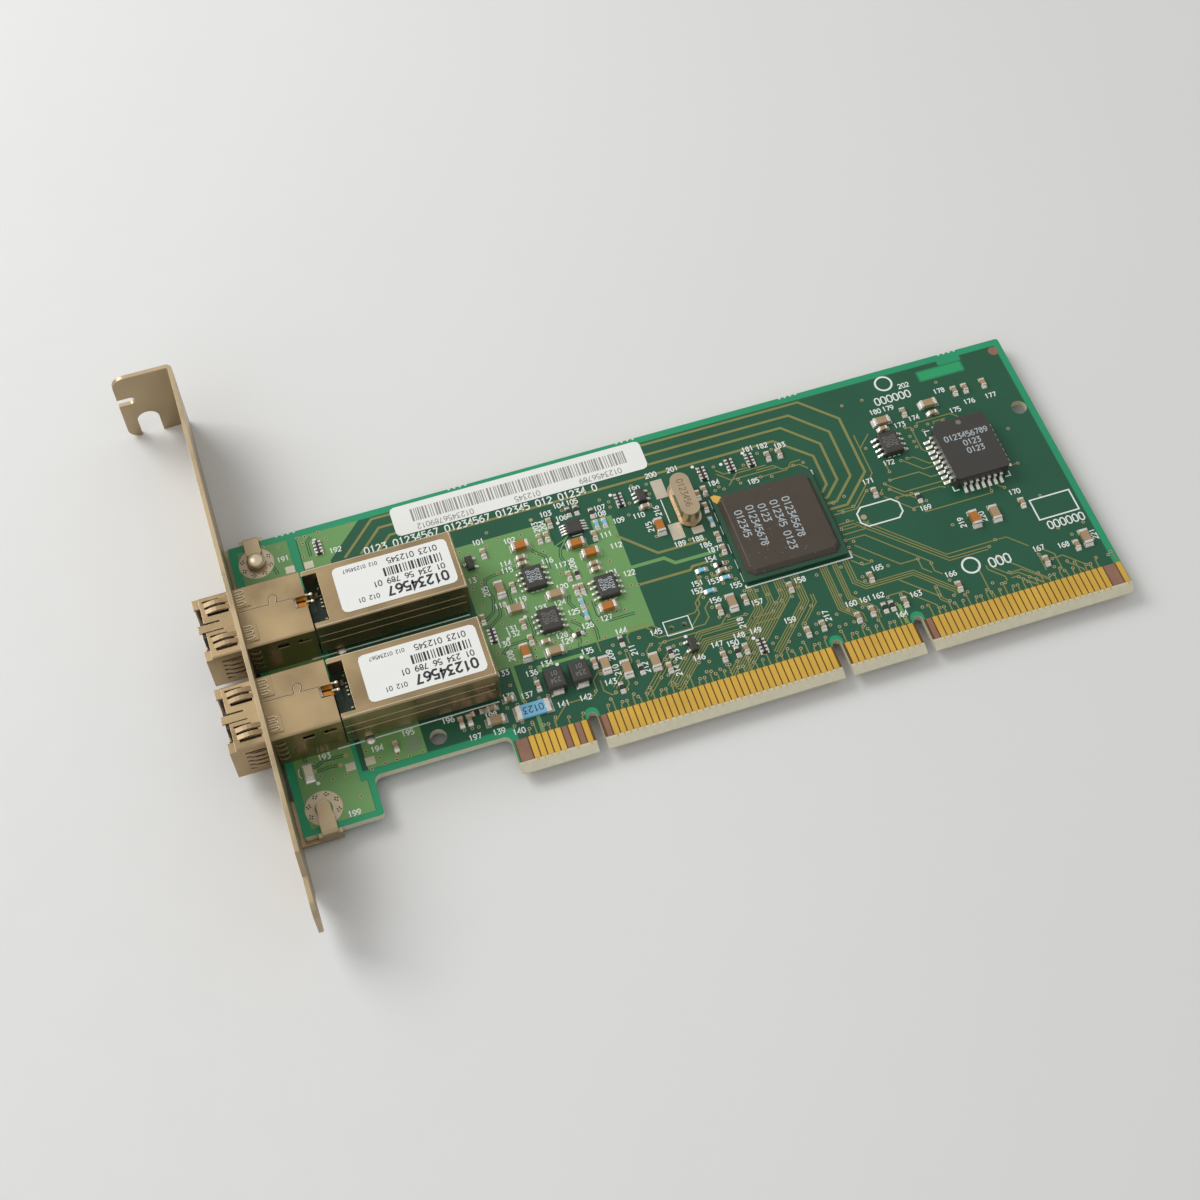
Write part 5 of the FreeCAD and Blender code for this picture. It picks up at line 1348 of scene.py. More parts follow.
@dataclass
class BoardPrint:
    """The white print on the board: part numbers, outlines and plain frames."""

    height: float = 0.06
    digit: float = 1.06
    weight: float = 0.2
    flat_numbers: list[Place] = field(default_factory=lambda: [
        (5.1, 43.7), (11.0, 42.1), (19.5, 45.8), (22.6, 46.9), (25.3, 46.9), (22.2, 43.9), (30.0, 43.8),
        (29.7, 42.4), (32.7, 39.8), (36.8, 39.6), (29.3, 37.4), (30.4, 34.4), (1.2, 35.6), (8.8, 37.2),
        (8.6, 35.7), (16.6, 35.3), (18.8, 33.5), (5.2, 28.5), (9.2, 28.5), (17.6, 28.8), (27.6, 28.8),
        (30.8, 27.6), (12.3, 25.5), (16.1, 25.5), (18.0, 22.7), (19.6, 19.0), (23.5, 19.5), (14.3, 18.5),
        (14.9, 17.0), (3.4, 20.1), (5.7, 22.9), (5.8, 21.7), (1.4, 14.2), (9.8, 13.6), (17.8, 13.7),
        (6.5, 12.5), (4.3, 8.3), (1.0, 9.2), (-2.7, 2.7), (0.8, 1.6), (10.2, 4.4), (14.5, 4.4),
        (19.9, 6.0), (25.2, 15.8), (31.4, 13.5), (37.3, 5.7), (41.4, 7.3), (46.0, 7.8), (49.3, 7.8),
        (44.3, 6.6), (42.4, 21.2), (41.8, 19.6), (45.5, 20.7), (46.7, 25.6), (49.3, 18.5), (44.4, 16.6),
        (51.8, 13.6), (61.3, 15.7), (56.3, 7.9), (68.6, 7.6), (71.5, 7.6), (74.2, 7.6), (81.1, 5.7),
        (76.9, 2.4), (76.4, 13.5), (89.2, 7.7), (107.6, 7.7), (112.5, 6.9), (90.7, 23.4), (108.7, 21.3),
        (82.4, 32.8), (88.0, 35.7), (93.6, 43.6), (97.0, 44.3), (105.7, 43.5), (109.3, 44.6),
        (114.0, 44.6), (104.5, 49.0), (93.0, 48.2), (90.2, 48.2), (62.5, 47.8), (65.5, 47.6), (68.9, 46.6),
        (53.3, 42.2), (60.9, 40.1), (46.9, 29.0), (47.9, 27.5), (45.9, 30.8), (42.3, 30.8), (37.9, 45.9),
        (-31.9, 52.1), (-21.7, 50.9), (-34.5, 7.9), (-24.9, 6.4), (-18.7, 7.8), (-11.0, 7.9), (-7.2, 3.0),
        (-3.2, 6.4), (-32.0, -4.8), (42.1, 48.0), (46.6, 48.0), (98.2, 52.6),
    ])
    upright_numbers: list[Place] = field(default_factory=lambda: [
        (16.8, 43.4), (18.2, 43.4), (3.4, 32.4), (21.0, 33.2), (20.9, 26.6), (3.9, 17.3), (21.7, 11.5),
        (21.8, 8.1), (26.1, 11.2), (27.2, 6.9), (33.6, 7.6), (32.6, 4.4), (38.0, 36.4), (40.6, 39.5),
        (63.3, 6.6), (47.4, 10.3), (96.0, 17.9), (100.4, 17.9), (119.1, 7.3),
    ])
    dots: list[Place] = field(default_factory=lambda: [
        (-25.1, 54.4), (33.0, 46.0), (50.6, 47.2), (56.2, 46.0), (61.2, 47.2), (48.4, 6.4), (4.5, 21.0),
        (8.9, 24.6), (11.6, 12.8), (16.4, 12.8), (21.2, 43.0), (-36.8, 3.0), (36.4, 10.8),
    ])
    rows: tuple[tuple[str, Place, float, float], ...] = (
        ("0123 01234567 01234567 012345 012 01234 0", (7.3, 48.75), 1.5, 0.25),
        ("000000", (94.9, 50.4), 1.7, 0.26),
        ("000", (99.4, 7.6), 2.0, 0.3),
        ("000000", (115.4, 11.9), 1.7, 0.26),
    )
    first_number: int = 101
    controller: tuple[Place, Place] = ((51.05, 17.25), (72.75, 38.9))
    controller_dashes: tuple[float, ...] = (1.4, 4.6, 8.3, 12.8, 16.0, 19.2)
    header: tuple[Place, Place] = ((33.3, 11.95), (38.3, 15.05))
    plate: tuple[Place, Place] = ((110.6, 13.6), (119.0, 18.4))
    memory_middle: float = 103.65
    memory_ends: Place = (25.2, 40.4)
    small_chips: tuple[Place, ...] = ((13.0, 32.0), (13.1, 22.1), (25.7, 25.75), (89.8, 39.5))
    circles: tuple[Place, ...] = ((94.5, 54.3), (93.7, 8.3))
    eight_sided: tuple[Place, ...] = (
        (78.6, 22.9), (85.0, 22.9), (86.2, 24.1), (86.2, 26.3), (85.0, 27.5), (78.6, 27.5), (77.4, 26.3),
        (77.4, 24.1))

    def build(self, wear: Wear) -> None:
        """Build the print as one piece.

        Args:
            wear: The materials.
        """
        work = FlatWork(0.03, self.height)
        places = [(place, Reading.ALONG) for place in self.flat_numbers]
        places += [(place, Reading.UP) for place in self.upright_numbers]
        for number, (place, reading) in enumerate(places, self.first_number):
            Stroke.write(work, str(number), place, DigitStyle(self.digit, self.weight, reading))
        for digits, place, height, weight in self.rows:
            Stroke.write(work, digits, place, DigitStyle(height, weight))
        for u, v in self.dots:
            work.disc(u, v, 0.36, 12)
        self.outlines(work)
        work.piece("board_print", wear["silk"], "label_paper")

    def outlines(self, work: FlatWork) -> None:
        """Draw the outlines round the chips, the header and the transceivers.

        Args:
            work: The print they join.
        """
        for line in PORT_LINES:
            low = line - 6.85
            work.line([(-31.6, low), (-0.9, low)], 0.24)
            work.line([(-31.6, low - 0.1), (-31.6, low + 0.6)], 0.24)
        (left, low), (right, high) = self.controller
        work.line([(left, low + 0.6), (left, low), (right, low), (right, low + 1.7)], 0.3)
        for start in self.controller_dashes:
            work.line([(left, low + start), (left, low + start + 2.2)], 0.12)
        work.line([(right - 1.1, high), (right, high), (right, high - 1.1)], 0.2)
        work.line(rectangle(*self.header), 0.2, closed=True)
        work.line([(42.07, 36.0), (42.07, 41.8)], 0.2)
        low, high = self.memory_ends
        for side in (-1, 1):
            inner = self.memory_middle + side * 4.9
            outer = self.memory_middle + side * 6.0
            work.line([(inner, low), (outer, low), (outer, low + 1.1)], 0.22)
            work.line([(inner, high), (outer, high), (outer, high - 1.1)], 0.22)
        for u, v in self.small_chips:
            for dash in range(3):
                work.box((u - 1.4 + dash, v - 2.72), (u - 0.8 + dash, v - 2.58))
        work.line([(23.0, 39.1), (25.0, 39.1)], 0.16)
        work.line([(-39.4, 4.9), (-39.7, 5.4), (-39.7, 6.4), (-39.4, 6.9)], 0.16)
        work.line(list(self.eight_sided), 0.3, closed=True)
        work.line(rectangle(*self.plate), 0.3, closed=True)
        for u, v in self.circles:
            work.ring(u, v, 1.9, 1.5, 32)


# ------------------------------------------------------------------ solder


@dataclass
class SolderWork:
    """Pads and solder at the ends of every surface part."""

    pad_reach: float = 0.42
    free_reach: Triple = (0.1, 0.35, 0.0)
    pad_side: float = 0.1
    pad_height: float = 0.05
    inset: float = 0.04
    rise: float = 0.55
    lead_rise: float = 0.34
    square: float = 0.1
    wrap: float = 0.3
    dome: tuple[Place, ...] = ((0.95, 0.02), (0.9, 0.2), (0.7, 0.38), (0.36, 0.5), (0.05, 0.54))
    cone: tuple[Place, ...] = ((0.85, 0.0), (0.8, 0.08), (0.52, 0.35), (0.4, 0.75))
    domes: tuple[Place, ...] = ((-25.6, 8.5), (-26.0, 28.5))
    ended: tuple[tuple[str, tuple[str, ...]], ...] = (
        ("small_capacitor_ends", ("small_capacitors",)),
        ("large_capacitor_ends", ("large_brown_capacitors", "large_tan_capacitors")),
        ("resistor_ends", ("dark_resistors", "blue_resistors")),
        ("sense_resistor_ends", ("sense_resistor",)),
        ("port_light_bases", ()),
    )
    leaded: tuple[tuple[str, str, float, float], ...] = (
        ("small_chip_leads", "small_chips", 0.7, 0.35),
        ("flash_leads", "flash_memory", 0.9, 1.1),
        ("diode_terminals", "diodes", 1.3, 0.5),
        ("resistor_array_ends", "resistor_arrays", 0.3, 0.4),
    )

    def build(self, wear: Wear) -> None:
        """Build the pads as one piece and the solder as another.

        Args:
            wear: The materials.
        """
        pads = bmesh.new()
        joints = bmesh.new()
        for ends, nodes in self.ended:
            bodies = [middle for node in nodes for middle in middles(node)]
            for box in islands(ends):
                self.end_joint(pads, joints, box, bodies)
        for leads, node, depth, beyond in self.leaded:
            bodies = middles(node)
            for box in islands(leads):
                self.lead_joint(pads, joints, box, bodies, depth, beyond)
        bodies = middles("resistor_arrays")
        for box in islands("resistor_array_ends"):
            self.array_cap(joints, box, bodies)
        for u, v in self.domes:
            round_form(joints, u, v, self.dome)
        to_piece("solder_pads", pads, wear["pad"])
        to_piece("solder_joints", joints, wear["solder"])
        self.pin_joints(wear)

    def array_cap(self, joints: Mesh, box: Box, bodies: list[Vector]) -> None:
        """Wrap one end of a resistor array over the top of its body.

        Args:
            joints: The mesh of the solder.
            box: The end's lowest and highest corner.
            bodies: The middles of the arrays' bodies.
        """
        low, high = box
        middle = (low + high) / 2
        inner = self.wrap if middle.x < self.nearest(middle, bodies).x else -self.wrap
        cap_low = Vector((min(low.x, low.x + inner), low.y))
        cap_high = Vector((max(high.x, high.x + inner), high.y))
        self.slab(joints, (cap_low, cap_high), (cap_low, cap_high), high.z, high.z + 0.03)

    def pin_joints(self, wear: Wear) -> None:
        """Build the solder cones round the pins on the solder side.

        Args:
            wear: The materials.
        """
        cones = bmesh.new()
        profile = [(radius, -BOARD_THICKNESS - depth) for radius, depth in self.cone]
        for port in (1, 2):
            for middle in middles("transceiver_pin_tails_%d" % port):
                round_form(cones, middle.x - FIRST_CONTACT_X, middle.y - CONTACT_TOP_Y, profile)
        to_piece("pin_solder", cones, wear["solder"])

    @staticmethod
    def nearest(middle: Vector, bodies: list[Vector]) -> Vector:
        """Return the body that lies nearest to a place."""
        return min(bodies, key=lambda body: (body - middle).length)

    def outward(self, middle: Vector, bodies: list[Vector]) -> Vector:
        """Find the main direction from the nearest body to an end.

        Args:
            middle: The end's middle.
            bodies: The middles of the bodies, if the end has one.

        Returns:
            A unit step along X or Y, or nothing where there is no body.
        """
        if not bodies:
            return Vector((0, 0, 0))
        away = middle - self.nearest(middle, bodies)
        if abs(away.x) > abs(away.y):
            return Vector((math.copysign(1, away.x), 0, 0))
        return Vector((0, math.copysign(1, away.y), 0))

    def end_joint(self, pads: Mesh, joints: Mesh, box: Box, bodies: list[Vector]) -> None:
        """Add the pad and the sloped solder at one metal end.

        Args:
            pads: The mesh of the pads.
            joints: The mesh of the solder.
            box: The end's lowest and highest corner.
            bodies: The middles of the bodies that the ends belong to.
        """
        low, high = box
        way = self.outward((low + high) / 2, bodies)
        side = Vector((self.pad_side, self.pad_side, 0))
        inset = Vector((self.inset, self.inset, 0))
        nothing = Vector((0, 0, 0))
        reach = Vector((abs(way.x), abs(way.y), 0)) * self.pad_reach if bodies else Vector(self.free_reach)
        foot_low = low - side - (reach if way.x + way.y <= 0 else nothing)
        foot_high = high + side + (reach if way.x + way.y >= 0 else nothing)
        self.slab(pads, (foot_low, foot_high), (foot_low, foot_high), 0.0, self.pad_height)
        top = self.pad_height + (high.z - low.z) * self.rise
        foot = (foot_low + side * 0.6, foot_high - side * 0.6)
        self.slab(joints, foot, (low - inset, high + inset), self.pad_height - 0.01, top)

    def lead_joint(
        self, pads: Mesh, joints: Mesh, lead: Box, bodies: list[Vector],
        depth: float, beyond: float
    ) -> None:
        """Add the pad and the sloped solder at the foot of one lead.

        Args:
            pads: The mesh of the pads.
            joints: The mesh of the solder.
            lead: The lowest and highest corner of the lead.
            bodies: The middles of the bodies that the leads belong to.
            depth: How far the pad reaches in under the lead.
            beyond: How far it reaches out past the lead.
        """
        low, high = lead
        middle = (low + high) / 2
        away = middle - self.nearest(middle, bodies)
        size = high - low
        shown = size if abs(size.x - size.y) > self.square else away
        axis = 0 if abs(shown.x) > abs(shown.y) else 1
        foot_low, crown_low = Vector(low), Vector(low)
        foot_high, crown_high = Vector(high), Vector(high)
        if away[axis] > 0:
            foot_low[axis] = crown_low[axis] = high[axis] - depth
            foot_high[axis] = high[axis] + beyond
        else:
            foot_high[axis] = crown_high[axis] = low[axis] + depth
            foot_low[axis] = low[axis] - beyond
        for edge, shift in ((foot_low, -0.06), (foot_high, 0.06), (crown_low, -0.02), (crown_high, 0.02)):
            edge[1 - axis] += shift
        foot = (foot_low, foot_high)
        self.slab(pads, foot, foot, 0.0, self.pad_height)
        self.slab(joints, foot, (crown_low, crown_high), self.pad_height, self.lead_rise)

    @staticmethod
    def slab(mesh: Mesh, foot: Box, crown: Box, bottom: float, top: float) -> None:
        """Add a block whose upper face may be smaller than its foot.

        Args:
            mesh: The mesh it joins.
            foot: Two corners of its foot, in millimetres of the row frame.
            crown: Two corners of its upper face.
            bottom: Height of its foot.
            top: Height of its upper face.
        """
        loops = []
        for corners, height in ((rectangle(*crown), top), (rectangle(*foot), bottom)):
            loops.append([mesh.verts.new(Vector((x, y, height)) * MM) for x, y in corners])
        skin(mesh, loops)


# ------------------------------------------------------------------ labels and chip print


@dataclass
class LabelPrint:
    """Plain bars and digits on the three paper labels."""

    paper: float = 0.1
    board_bars: tuple[Place, Place] = ((-5.6, 52.4), (39.2, 55.4))
    port_bars: tuple[Place, Place] = ((-14.6, 0.3), (-3.4, 2.2))
    bar_widths: tuple[float, ...] = (0.42, 0.18, 0.18, 0.3, 0.18, 0.42, 0.3, 0.18, 0.18, 0.3, 0.42, 0.18)
    bar_gaps: tuple[float, ...] = (0.3, 0.2, 0.42, 0.2, 0.3, 0.2, 0.2, 0.42, 0.3, 0.2, 0.3)
    board_style: DigitStyle = DigitStyle(1.15, 0.17, Reading.BACK)
    board_digits: tuple[tuple[str, Place], ...] = (
        ("0123456789012", (0.6, 51.0)), ("012345", (17.4, 51.0)), ("0123456789", (32.6, 51.0)))
    port_digits: tuple[tuple[str, Place, float, float], ...] = (
        ("0123 012345", (-8.6, 3.55), 1.15, 0.18),
        ("012 01234567", (-18.6, 3.75), 0.72, 0.11),
        ("01 234 56 789 01", (-10.2, -0.8), 1.12, 0.19),
        ("01234567", (-9.0, -3.0), 1.9, 0.42),
        ("012 01", (-18.6, -3.3), 0.9, 0.14),
    )

    def bars(self, work: FlatWork, strip: tuple[Place, Place], line: float = 0.0) -> None:
        """Fill a strip with upright bars of changing width.

        Args:
            work: The print they join.
            strip: The lowest and highest corner of the strip.
            line: How far above the contacts its corners are counted from.
        """
        (u, low), (end, high) = strip
        index = 0
        while True:
            width = self.bar_widths[index % len(self.bar_widths)]
            if u + width > end:
                return
            work.box((u, line + low), (u + width, line + high))
            u += width + self.bar_gaps[(index * 3) % len(self.bar_gaps)]
            index += 1

    def build(self, wear: Wear) -> None:
        """Build the print of all three labels; the digits stand upside down, as on the real ones.

        Args:
            wear: The materials.
        """
        pale = FlatWork(self.paper, self.paper + INK)
        self.bars(pale, self.board_bars)
        for digits, place in self.board_digits:
            Stroke.write(pale, digits, place, self.board_style)
        pale.piece("board_label_print", wear["grey_ink"], "label_paper")
        top = TRANSCEIVER_TOP + self.paper
        dark = FlatWork(top, top + INK)
        for line in PORT_LINES:
            self.bars(dark, self.port_bars, line)
            for digits, (u, rise), height, weight in self.port_digits:
                Stroke.write(dark, digits, (u, line + rise), DigitStyle(height, weight, Reading.BACK))
        dark.piece("transceiver_label_print", wear["ink"], "label_paper")


def small_chip_rows(*chips: Place) -> tuple[tuple[str, Place], ...]:
    """Lay out the same three columns of digits on several small chips.

    Args:
        *chips: The chips' middles.

    Returns:
        The rows of digits.
    """
    columns = (("01234", -0.95), ("0123", 0.0), ("01234", 0.95))
    return tuple((digits, (u + shift, v + 0.1)) for u, v in chips for digits, shift in columns)


@dataclass
class ChipPrint:
    """Digits on the chips, the dimple of the memory, and the gold mark by the controller."""

    controller: PrintedRows = PrintedRows(
        "controller_print", "chip_print", "chip_resin", 2.2, INK, DigitStyle(1.4, 0.22, Reading.DOWN), (
            ("012345", (54.9, 30.0)), ("012345678", (57.4, 28.8)), ("0123", (59.8, 31.1)),
            ("012345 0123", (62.3, 27.4)), ("012345678", (64.8, 28.5))))
    memory: PrintedRows = PrintedRows(
        "memory_print", "chip_print", "chip_resin", 3.3, INK, DigitStyle(1.2, 0.2), (
            ("0123456789", (103.9, 35.2)), ("0123", (104.4, 33.3)), ("0123", (104.4, 31.4))))
    small_chips: PrintedRows = PrintedRows(
        "small_chip_print", "chip_print", "chip_resin", 1.5, 0.01, DigitStyle(0.72, 0.15, Reading.DOWN),
        small_chip_rows((13.0, 32.0), (25.7, 25.75)))
    faint_small_chips: PrintedRows = PrintedRows(
        "faint_small_chip_print", "faint", "chip_resin", 1.5, 0.008, DigitStyle(0.72, 0.12, Reading.DOWN),
        small_chip_rows((89.8, 39.5), (13.1, 22.1)))
    diodes: PrintedRows = PrintedRows(
        "diode_print", "faint", "chip_resin", 2.3, 0.008, DigitStyle(0.9, 0.14, Reading.BACK), (
            ("01", (10.1, 10.0)), ("234", (10.1, 8.5)), ("01", (14.95, 10.0)), ("234", (14.95, 8.5))))
    sense_resistor: PrintedRows = PrintedRows(
        "sense_resistor_print", "ink", "dark_glaze", 0.6, INK, DigitStyle(1.3, 0.17, Reading.BACK), (
            ("0123", (4.6, 5.0)),))
    crystal: PrintedRows = PrintedRows(
        "crystal_print", "engraved", "cage_metal", 4.0, 0.008, DigitStyle(1.25, 0.14, Reading.DOWN), (
            ("0123456", (46.1, 39.4)),))
    dimple: Place = (103.65, 38.4)
    dimple_radius: float = 0.55
    controller_base_top: float = 1.1
    corner_mark: tuple[Place, ...] = (
        (51.25, 38.6), (51.4, 37.4), (52.1, 36.5), (53.2, 36.0), (53.75, 36.9), (53.15, 38.1), (52.1, 38.75))

    def build(self, wear: Wear) -> None:
        """Build the print of every chip, each kind as one piece.

        Args:
            wear: The materials.
        """
        self.controller.build(wear)
        self.memory.build(wear)
        dimple = FlatWork(self.memory.face, self.memory.face + 0.006)
        dimple.disc(*self.dimple, self.dimple_radius, 24)
        dimple.piece("memory_dimple", wear["faint"], "chip_resin")
        self.small_chips.build(wear)
        self.faint_small_chips.build(wear)
        self.diodes.build(wear)
        mark = FlatWork(self.controller_base_top, self.controller_base_top + 0.03)
        mark.outline(list(self.corner_mark))
        mark.piece("controller_corner_mark", wear["mark"], "gold_plating")
        self.sense_resistor.build(wear)
        self.crystal.build(wear)


# ------------------------------------------------------------------ transceivers


@dataclass
class TransceiverDetail:
    """Bowed spring fingers, hooks, seams, painted highlight lines on the edges and steps of the cages and
    cans, and the flexible strips.
    """

    half_cage: float = 6.75
    half_can: float = 6.55
    finger_lines: tuple[float, ...] = (4.9, 3.4, -2.78, -4.25)
    finger_width: float = 0.95
    bow: tuple[Place, ...] = (
        (-48.2, -0.04), (-47.6, 0.12), (-46.9, 0.3), (-46.1, 0.4), (-45.3, 0.38), (-44.6, 0.25), (-43.9, 0.06),
        (-43.5, -0.04))
    side_fingers: tuple[float, ...] = (2.55, 4.05, 5.55, 7.05)
    side_bow: tuple[Place, ...] = (
        (-47.0, -0.04), (-46.4, 0.12), (-45.7, 0.24), (-44.9, 0.28), (-44.1, 0.2), (-43.3, -0.04))
    hook_lines: tuple[float, ...] = (-4.75, -3.65, -2.55, 3.0, 4.2, 5.4)
    side_hooks: tuple[float, ...] = (2.4, 4.2, 6.0, 7.8)
    seam: tuple[Place, ...] = (
        (-42.3, 1.3), (-37.9, 1.34), (-36.9, 1.15), (-36.55, 1.4), (-36.5, 2.3), (-36.3, 2.9), (-35.9, 3.2),
        (-35.4, 3.2), (-35.0, 2.8), (-34.9, 2.2), (-35.1, 1.7), (-35.3, 1.35), (-33.5, 1.25), (-31.7, 1.2))
    small_leads: tuple[float, ...] = (4.8, 3.1, 2.3, 1.5, 0.6, -2.2)
    loop: tuple[Place, ...] = (
        (-42.2, 0.34), (-41.0, 0.34), (-40.62, 0.1), (-40.62, -0.1), (-41.0, -0.34), (-42.2, -0.34))
    side_hook: tuple[Place, ...] = ((-42.2, 0.05), (-41.4, 0.32), (-40.7, 0.3), (-40.2, 0.05))
    step_heights: tuple[float, ...] = (6.6, 4.3)
    strand: tuple[Place, ...] = ((-31.8, 8.6), (-31.0, 8.62), (-30.2, 8.5), (-29.6, 8.3))
    lead_drop: tuple[Place, ...] = ((-28.9, 8.5), (-28.4, 8.1), (-28.2, 6.4), (-28.1, 4.82))
    bead: tuple[Place, ...] = ((0.3, 8.2), (0.42, 8.45), (0.3, 8.72), (0.06, 8.8))

    def build(self, wear: Wear) -> None:
        """Build the detail of both transceivers.

        Args:
            wear: The materials.
        """
        springs = bmesh.new()
        # Thin strips of paler metal at the can's side steps: painted highlight lines.
        step_highlights = bmesh.new()
        top = TRANSCEIVER_TOP
        seams = FlatWork(top, top + 0.01)
        # The hook loops wear the paler metal: a painted glint on them.
        loops = FlatWork(top + 0.25, top + 0.42)
        # Paler lines beside the seams and along the cans' rims and ends: painted highlight lines on the sheet
        # edges.
        edges = FlatWork(top, top + 0.03)
        for line in PORT_LINES:
            self.springs(springs, line)
            for shift in self.hook_lines:
                loops.line([(u, line + shift + v) for u, v in self.loop], 0.16)
            path = [(u, line + v) for u, v in self.seam]
            seams.line(path, 0.15)
            edges.line(offset_line(path, -0.12), 0.09)
            rim = self.half_can - 0.3
            for side in (-rim, rim):
                edges.line([(-29.2, line + side), (-0.7, line + side)], 0.2)
            edges.line([(-0.75, line - rim), (-0.75, line + rim)], 0.16)
            # Painted highlight lines along both sides of the can, at the heights of its steps.
            for side in (-self.half_can, self.half_can):
                for height in self.step_heights:
                    low = (-29.3, line + side - 0.05, height)
                    block(step_highlights, low, (-1.2, line + side + 0.05, height + 0.12))
        to_piece("cage_springs", springs, wear["spring"])
        to_piece("can_side_steps", step_highlights, wear["bright"])
        seams.piece("cage_seams", wear["seam"], "cage_metal")
        loops.piece("cage_spring_loops", wear["bright"], "cage_metal")
        edges.piece("sheet_edges", wear["bright"], "cage_metal")
        for port, line in enumerate(PORT_LINES, 1):
            self.strip_end(port, line, wear)

    def springs(self, mesh: Mesh, line: float) -> None:
        """Add the bowed fingers of one cage's nose and the hooks behind the bracket.

        Args:
            mesh: The mesh they join.
            line: The cage's middle line above the contacts.
        """
        for shift in self.finger_lines:
            path = [(u, line + shift, TRANSCEIVER_TOP + rise) for u, rise in self.bow]
            self.ribbon(mesh, path, Vector((0, self.finger_width, 0)), 0.12)
        for side in (-1, 1):
            wall = line + side * self.half_cage
            for height in self.side_fingers:
                path = [(u, wall + side * out, height) for u, out in self.side_bow]
                self.ribbon(mesh, path, Vector((0, 0, self.finger_width)), 0.12)
            for height in self.side_hooks:
                path = [(u, wall + side * out, height) for u, out in self.side_hook]
                self.ribbon(mesh, path, Vector((0, 0, 0.42)), 0.14)

    def strip_end(self, port: int, line: float, wear: Wear) -> None:
        """Build what shows between one cage and its can: strands, leads, the white end block and a dark block
        of painted shade in the gap.

        Args:
            port: The port's number.
            line: Its middle line above the contacts.
            wear: The materials.
        """
        strands = bmesh.new()
        for shift in (0.05, 1.35):
            path = [(u, line + shift, height) for u, height in self.strand]
            self.ribbon(strands, path, Vector((0, 0.85, 0)), 0.16)
        piece = to_piece("flex_strands_%d" % port, strands, wear["amber"])
        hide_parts("flex_strip_%d" % port)
        leads = bmesh.new()
        for start, shift in ((-30.4, 1.85), (-29.9, 0.3)):
            route = ((start, 8.75), (start + 0.8, 8.7), *self.lead_drop)
            self.ribbon(leads, [(u, line + shift, height) for u, height in route], Vector((0, 0.36, 0)), 0.24)
            round_form(leads, -28.7, line + shift, self.bead, 14)
        for shift in self.small_leads:
            block(leads, (-27.3, line + shift - 0.16, 4.8), (-26.85, line + shift + 0.16, 5.25))
        to_piece("flex_leads_%d" % port, leads, wear["bright"])
        end = bmesh.new()
        block(end, (-32.35, line - 0.45, 8.0), (-31.7, line + 1.6, 8.95))
        to_piece("header_end_block_%d" % port, end, wear["ceramic"])
        # A dark block across the gap at the can's end: painted shade where the gap falls dark.
        gap_shade_block = bmesh.new()
        block(gap_shade_block, (-29.76, line - 6.1, 0.05), (-29.54, line + 6.1, 3.9))
        to_piece("base_lip_%d" % port, gap_shade_block, wear["receptacle"])

    @staticmethod
    def ribbon(mesh: Mesh, path: list[Triple], width: Vector, thickness: float) -> None:
        """Add a bent ribbon of even thickness.

        Args:
            mesh: The mesh it joins.
            path: Its middle, as board places and heights.
            width: Its width, in millimetres and as a direction.
            thickness: Its thickness in millimetres.
        """
        points = [spot(*place) * MM_PER_METRE for place in path]
        rings = []
        for number, point in enumerate(points):
            before = points[max(0, number - 1)]
            after = points[min(len(points) - 1, number + 1)]
            along = (after - before).normalized()
            rise = along.cross(width.normalized()) * (thickness / 2)
            across = width / 2
            corners = (-across - rise, across - rise, across + rise, rise - across)
            rings.append([mesh.verts.new((point + corner) * MM) for corner in corners])
        skin(mesh, rings)


# ------------------------------------------------------------------ carried nodes


@dataclass
class CardNodes:
    """Finishes for the pieces that come ready shaped from the construction model."""

    finishes: dict[str, str] = field(default_factory=lambda: {
        "circuit_board": "laminate", "component_contacts": "gold", "solder_contacts": "gold",
        "mounting_bracket": "bracket", "controller_base": "substrate", "controller_cap": "resin",
        "controller_balls": "solder", "flash_memory": "flash_resin", "flash_leads": "solder",
        "small_chips": "flash_resin", "small_chip_leads": "solder", "large_brown_capacitors": "brown",
        "large_tan_capacitors": "tan", "large_capacitor_ends": "solder", "small_capacitors": "tan",
        "small_capacitor_ends": "solder", "dark_resistors": "dark", "blue_resistors": "blue",
        "resistor_ends": "solder", "resistor_arrays": "dark", "resistor_array_ends": "solder",
        "sense_resistor": "blue", "sense_resistor_ends": "solder", "diodes": "flash_resin",
        "diode_terminals": "solder", "crystal": "crystal", "crystal_pads": "pad", "port_lights": "lens",
        "port_light_bases": "ceramic", "board_label": "paper",
    })
    per_port: dict[str, str] = field(default_factory=lambda: {
        "transceiver_cage": "cage", "transceiver_receptacle": "receptacle", "ferrule_sleeves": "ceramic",
        "optical_barrels": "barrel", "optical_header": "ceramic", "transceiver_can": "cage",
        "transceiver_base": "receptacle", "transceiver_board": "inner_board", "transceiver_chips": "tan",
        "flex_strip": "amber", "transceiver_pin_tails": "solder", "transceiver_label": "paper",
    })

    def dress(self, wear: Wear) -> None:
        """Give every node its material.

        Args:
            wear: The materials.

        Raises:
            ValueError: If a node has no finish here.
        """
        table = dict(self.finishes)
        for stem, finish in self.per_port.items():
            for port in (1, 2):
                table["%s_%d" % (stem, port)] = finish
        for node, finish in table.items():
            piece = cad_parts[node]
            piece.data.materials.clear()
            piece.data.materials.append(wear[finish])
            log.info("node %s wears %s", node, finish)
        missing = set(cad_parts) - set(table)
        if missing:
            raise ValueError("nodes without a finish: %s" % sorted(missing))


# ------------------------------------------------------------------ studio


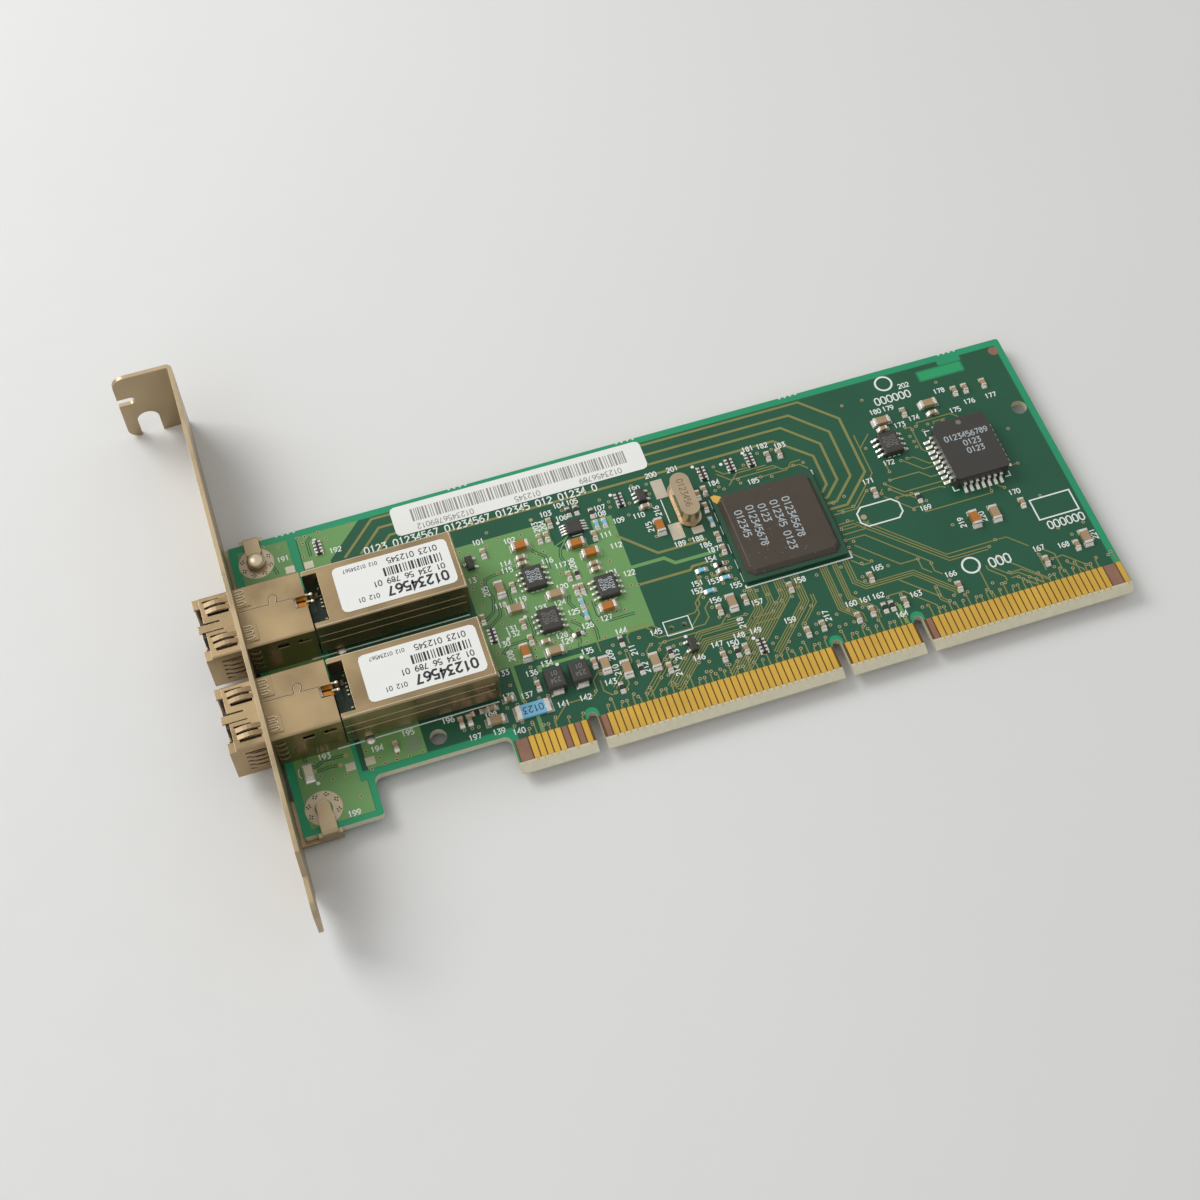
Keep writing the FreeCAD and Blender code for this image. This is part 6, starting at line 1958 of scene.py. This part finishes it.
@dataclass
class Studio:
    """Pale floor, soft lamps and the camera, with the lamps' places and sizes in metres."""

    camera_place: Triple = (-45.03, -151.27, 313.08)
    camera_turn: Triple = (31.173, 0.899, -18.05)
    lens: float = 57.45
    sensor: float = 36.0
    floor_height: float = -3.42
    key_place: Triple = (-0.45, 0.5, 0.55)
    key_size: float = 0.5
    key_power: float = 4.2
    fill_place: Triple = (-0.5, -0.35, 0.6)
    fill_size: float = 0.7
    fill_power: float = 0.9
    sky: float = 0.5
    mirrored_sky: float = 0.7
    floor_half: float = 2.5
    aim: Triple = (0.02, 0.03, 0.0)

    def build(self, wear: Wear) -> None:
        """Build the floor, lamps, world and camera.

        Args:
            wear: The materials.
        """
        mesh = bmesh.new()
        bmesh.ops.create_grid(mesh, x_segments=2, y_segments=2, size=self.floor_half)
        data = bpy.data.meshes.new("studio_floor")
        mesh.to_mesh(data)
        mesh.free()
        floor = bpy.data.objects.new("studio_floor", data)
        data.materials.append(wear["floor"])
        floor.location.z = self.floor_height * MM
        bpy.context.scene.collection.objects.link(floor)
        self.lamp("key_lamp", self.key_place, self.key_size, self.key_power)
        self.lamp("fill_lamp", self.fill_place, self.fill_size, self.fill_power)
        self.world()
        camera = bpy.data.cameras.new("studio_camera")
        camera.lens = self.lens
        camera.sensor_width = self.sensor
        camera.clip_start = 0.01
        holder = bpy.data.objects.new("studio_camera", camera)
        holder.location = Vector(self.camera_place) * MM
        holder.rotation_euler = Euler([math.radians(angle) for angle in self.camera_turn])
        bpy.context.scene.collection.objects.link(holder)
        bpy.context.scene.camera = holder
        bpy.context.scene.view_settings.view_transform = "Standard"

    def lamp(self, name: str, place: Triple, size: float, power: float) -> None:
        """Hang one square lamp that faces the card.

        Args:
            name: The lamp's name.
            place: Where it hangs, in metres.
            size: Its side, in metres.
            power: Its power in watts.
        """
        data = bpy.data.lights.new(name, "AREA")
        data.size = size
        data.energy = power
        holder = bpy.data.objects.new(name, data)
        holder.location = place
        holder.rotation_euler = (Vector(self.aim) - holder.location).to_track_quat("-Z", "Y").to_euler()
        bpy.context.scene.collection.objects.link(holder)

    def world(self) -> None:
        """Set an even white sky, brighter where it is seen or mirrored than in the light it gives."""
        world = bpy.data.worlds.new("studio_sky")
        bpy.context.scene.world = world
        world.use_nodes = True
        tree = world.node_tree
        paths = add_node(tree, "LightPath")
        seen = math_node(tree, "MAXIMUM", paths.outputs["Is Camera Ray"], paths.outputs["Is Glossy Ray"])
        strength = add_node(tree, "MapRange", Value=seen, To_Min=self.sky, To_Max=self.mirrored_sky)
        white = (1.0, 1.0, 1.0, 1.0)
        feed(tree, tree.nodes["Background"], {"Color": white, "Strength": strength.outputs["Result"]})


def main() -> None:
    """Build the dressed card and its studio, in order."""
    logging.basicConfig(level=logging.INFO, format="%(name)s: %(message)s")
    wear = Finishes().materials()
    Studio().build(wear)
    CardNodes().dress(wear)
    BoardCopper().build(wear)
    BracketRings().build(wear)
    BoardPrint().build(wear)
    SolderWork().build(wear)
    LabelPrint().build(wear)
    ChipPrint().build(wear)
    TransceiverDetail().build(wear)


if __name__ == "__main__":
    main()
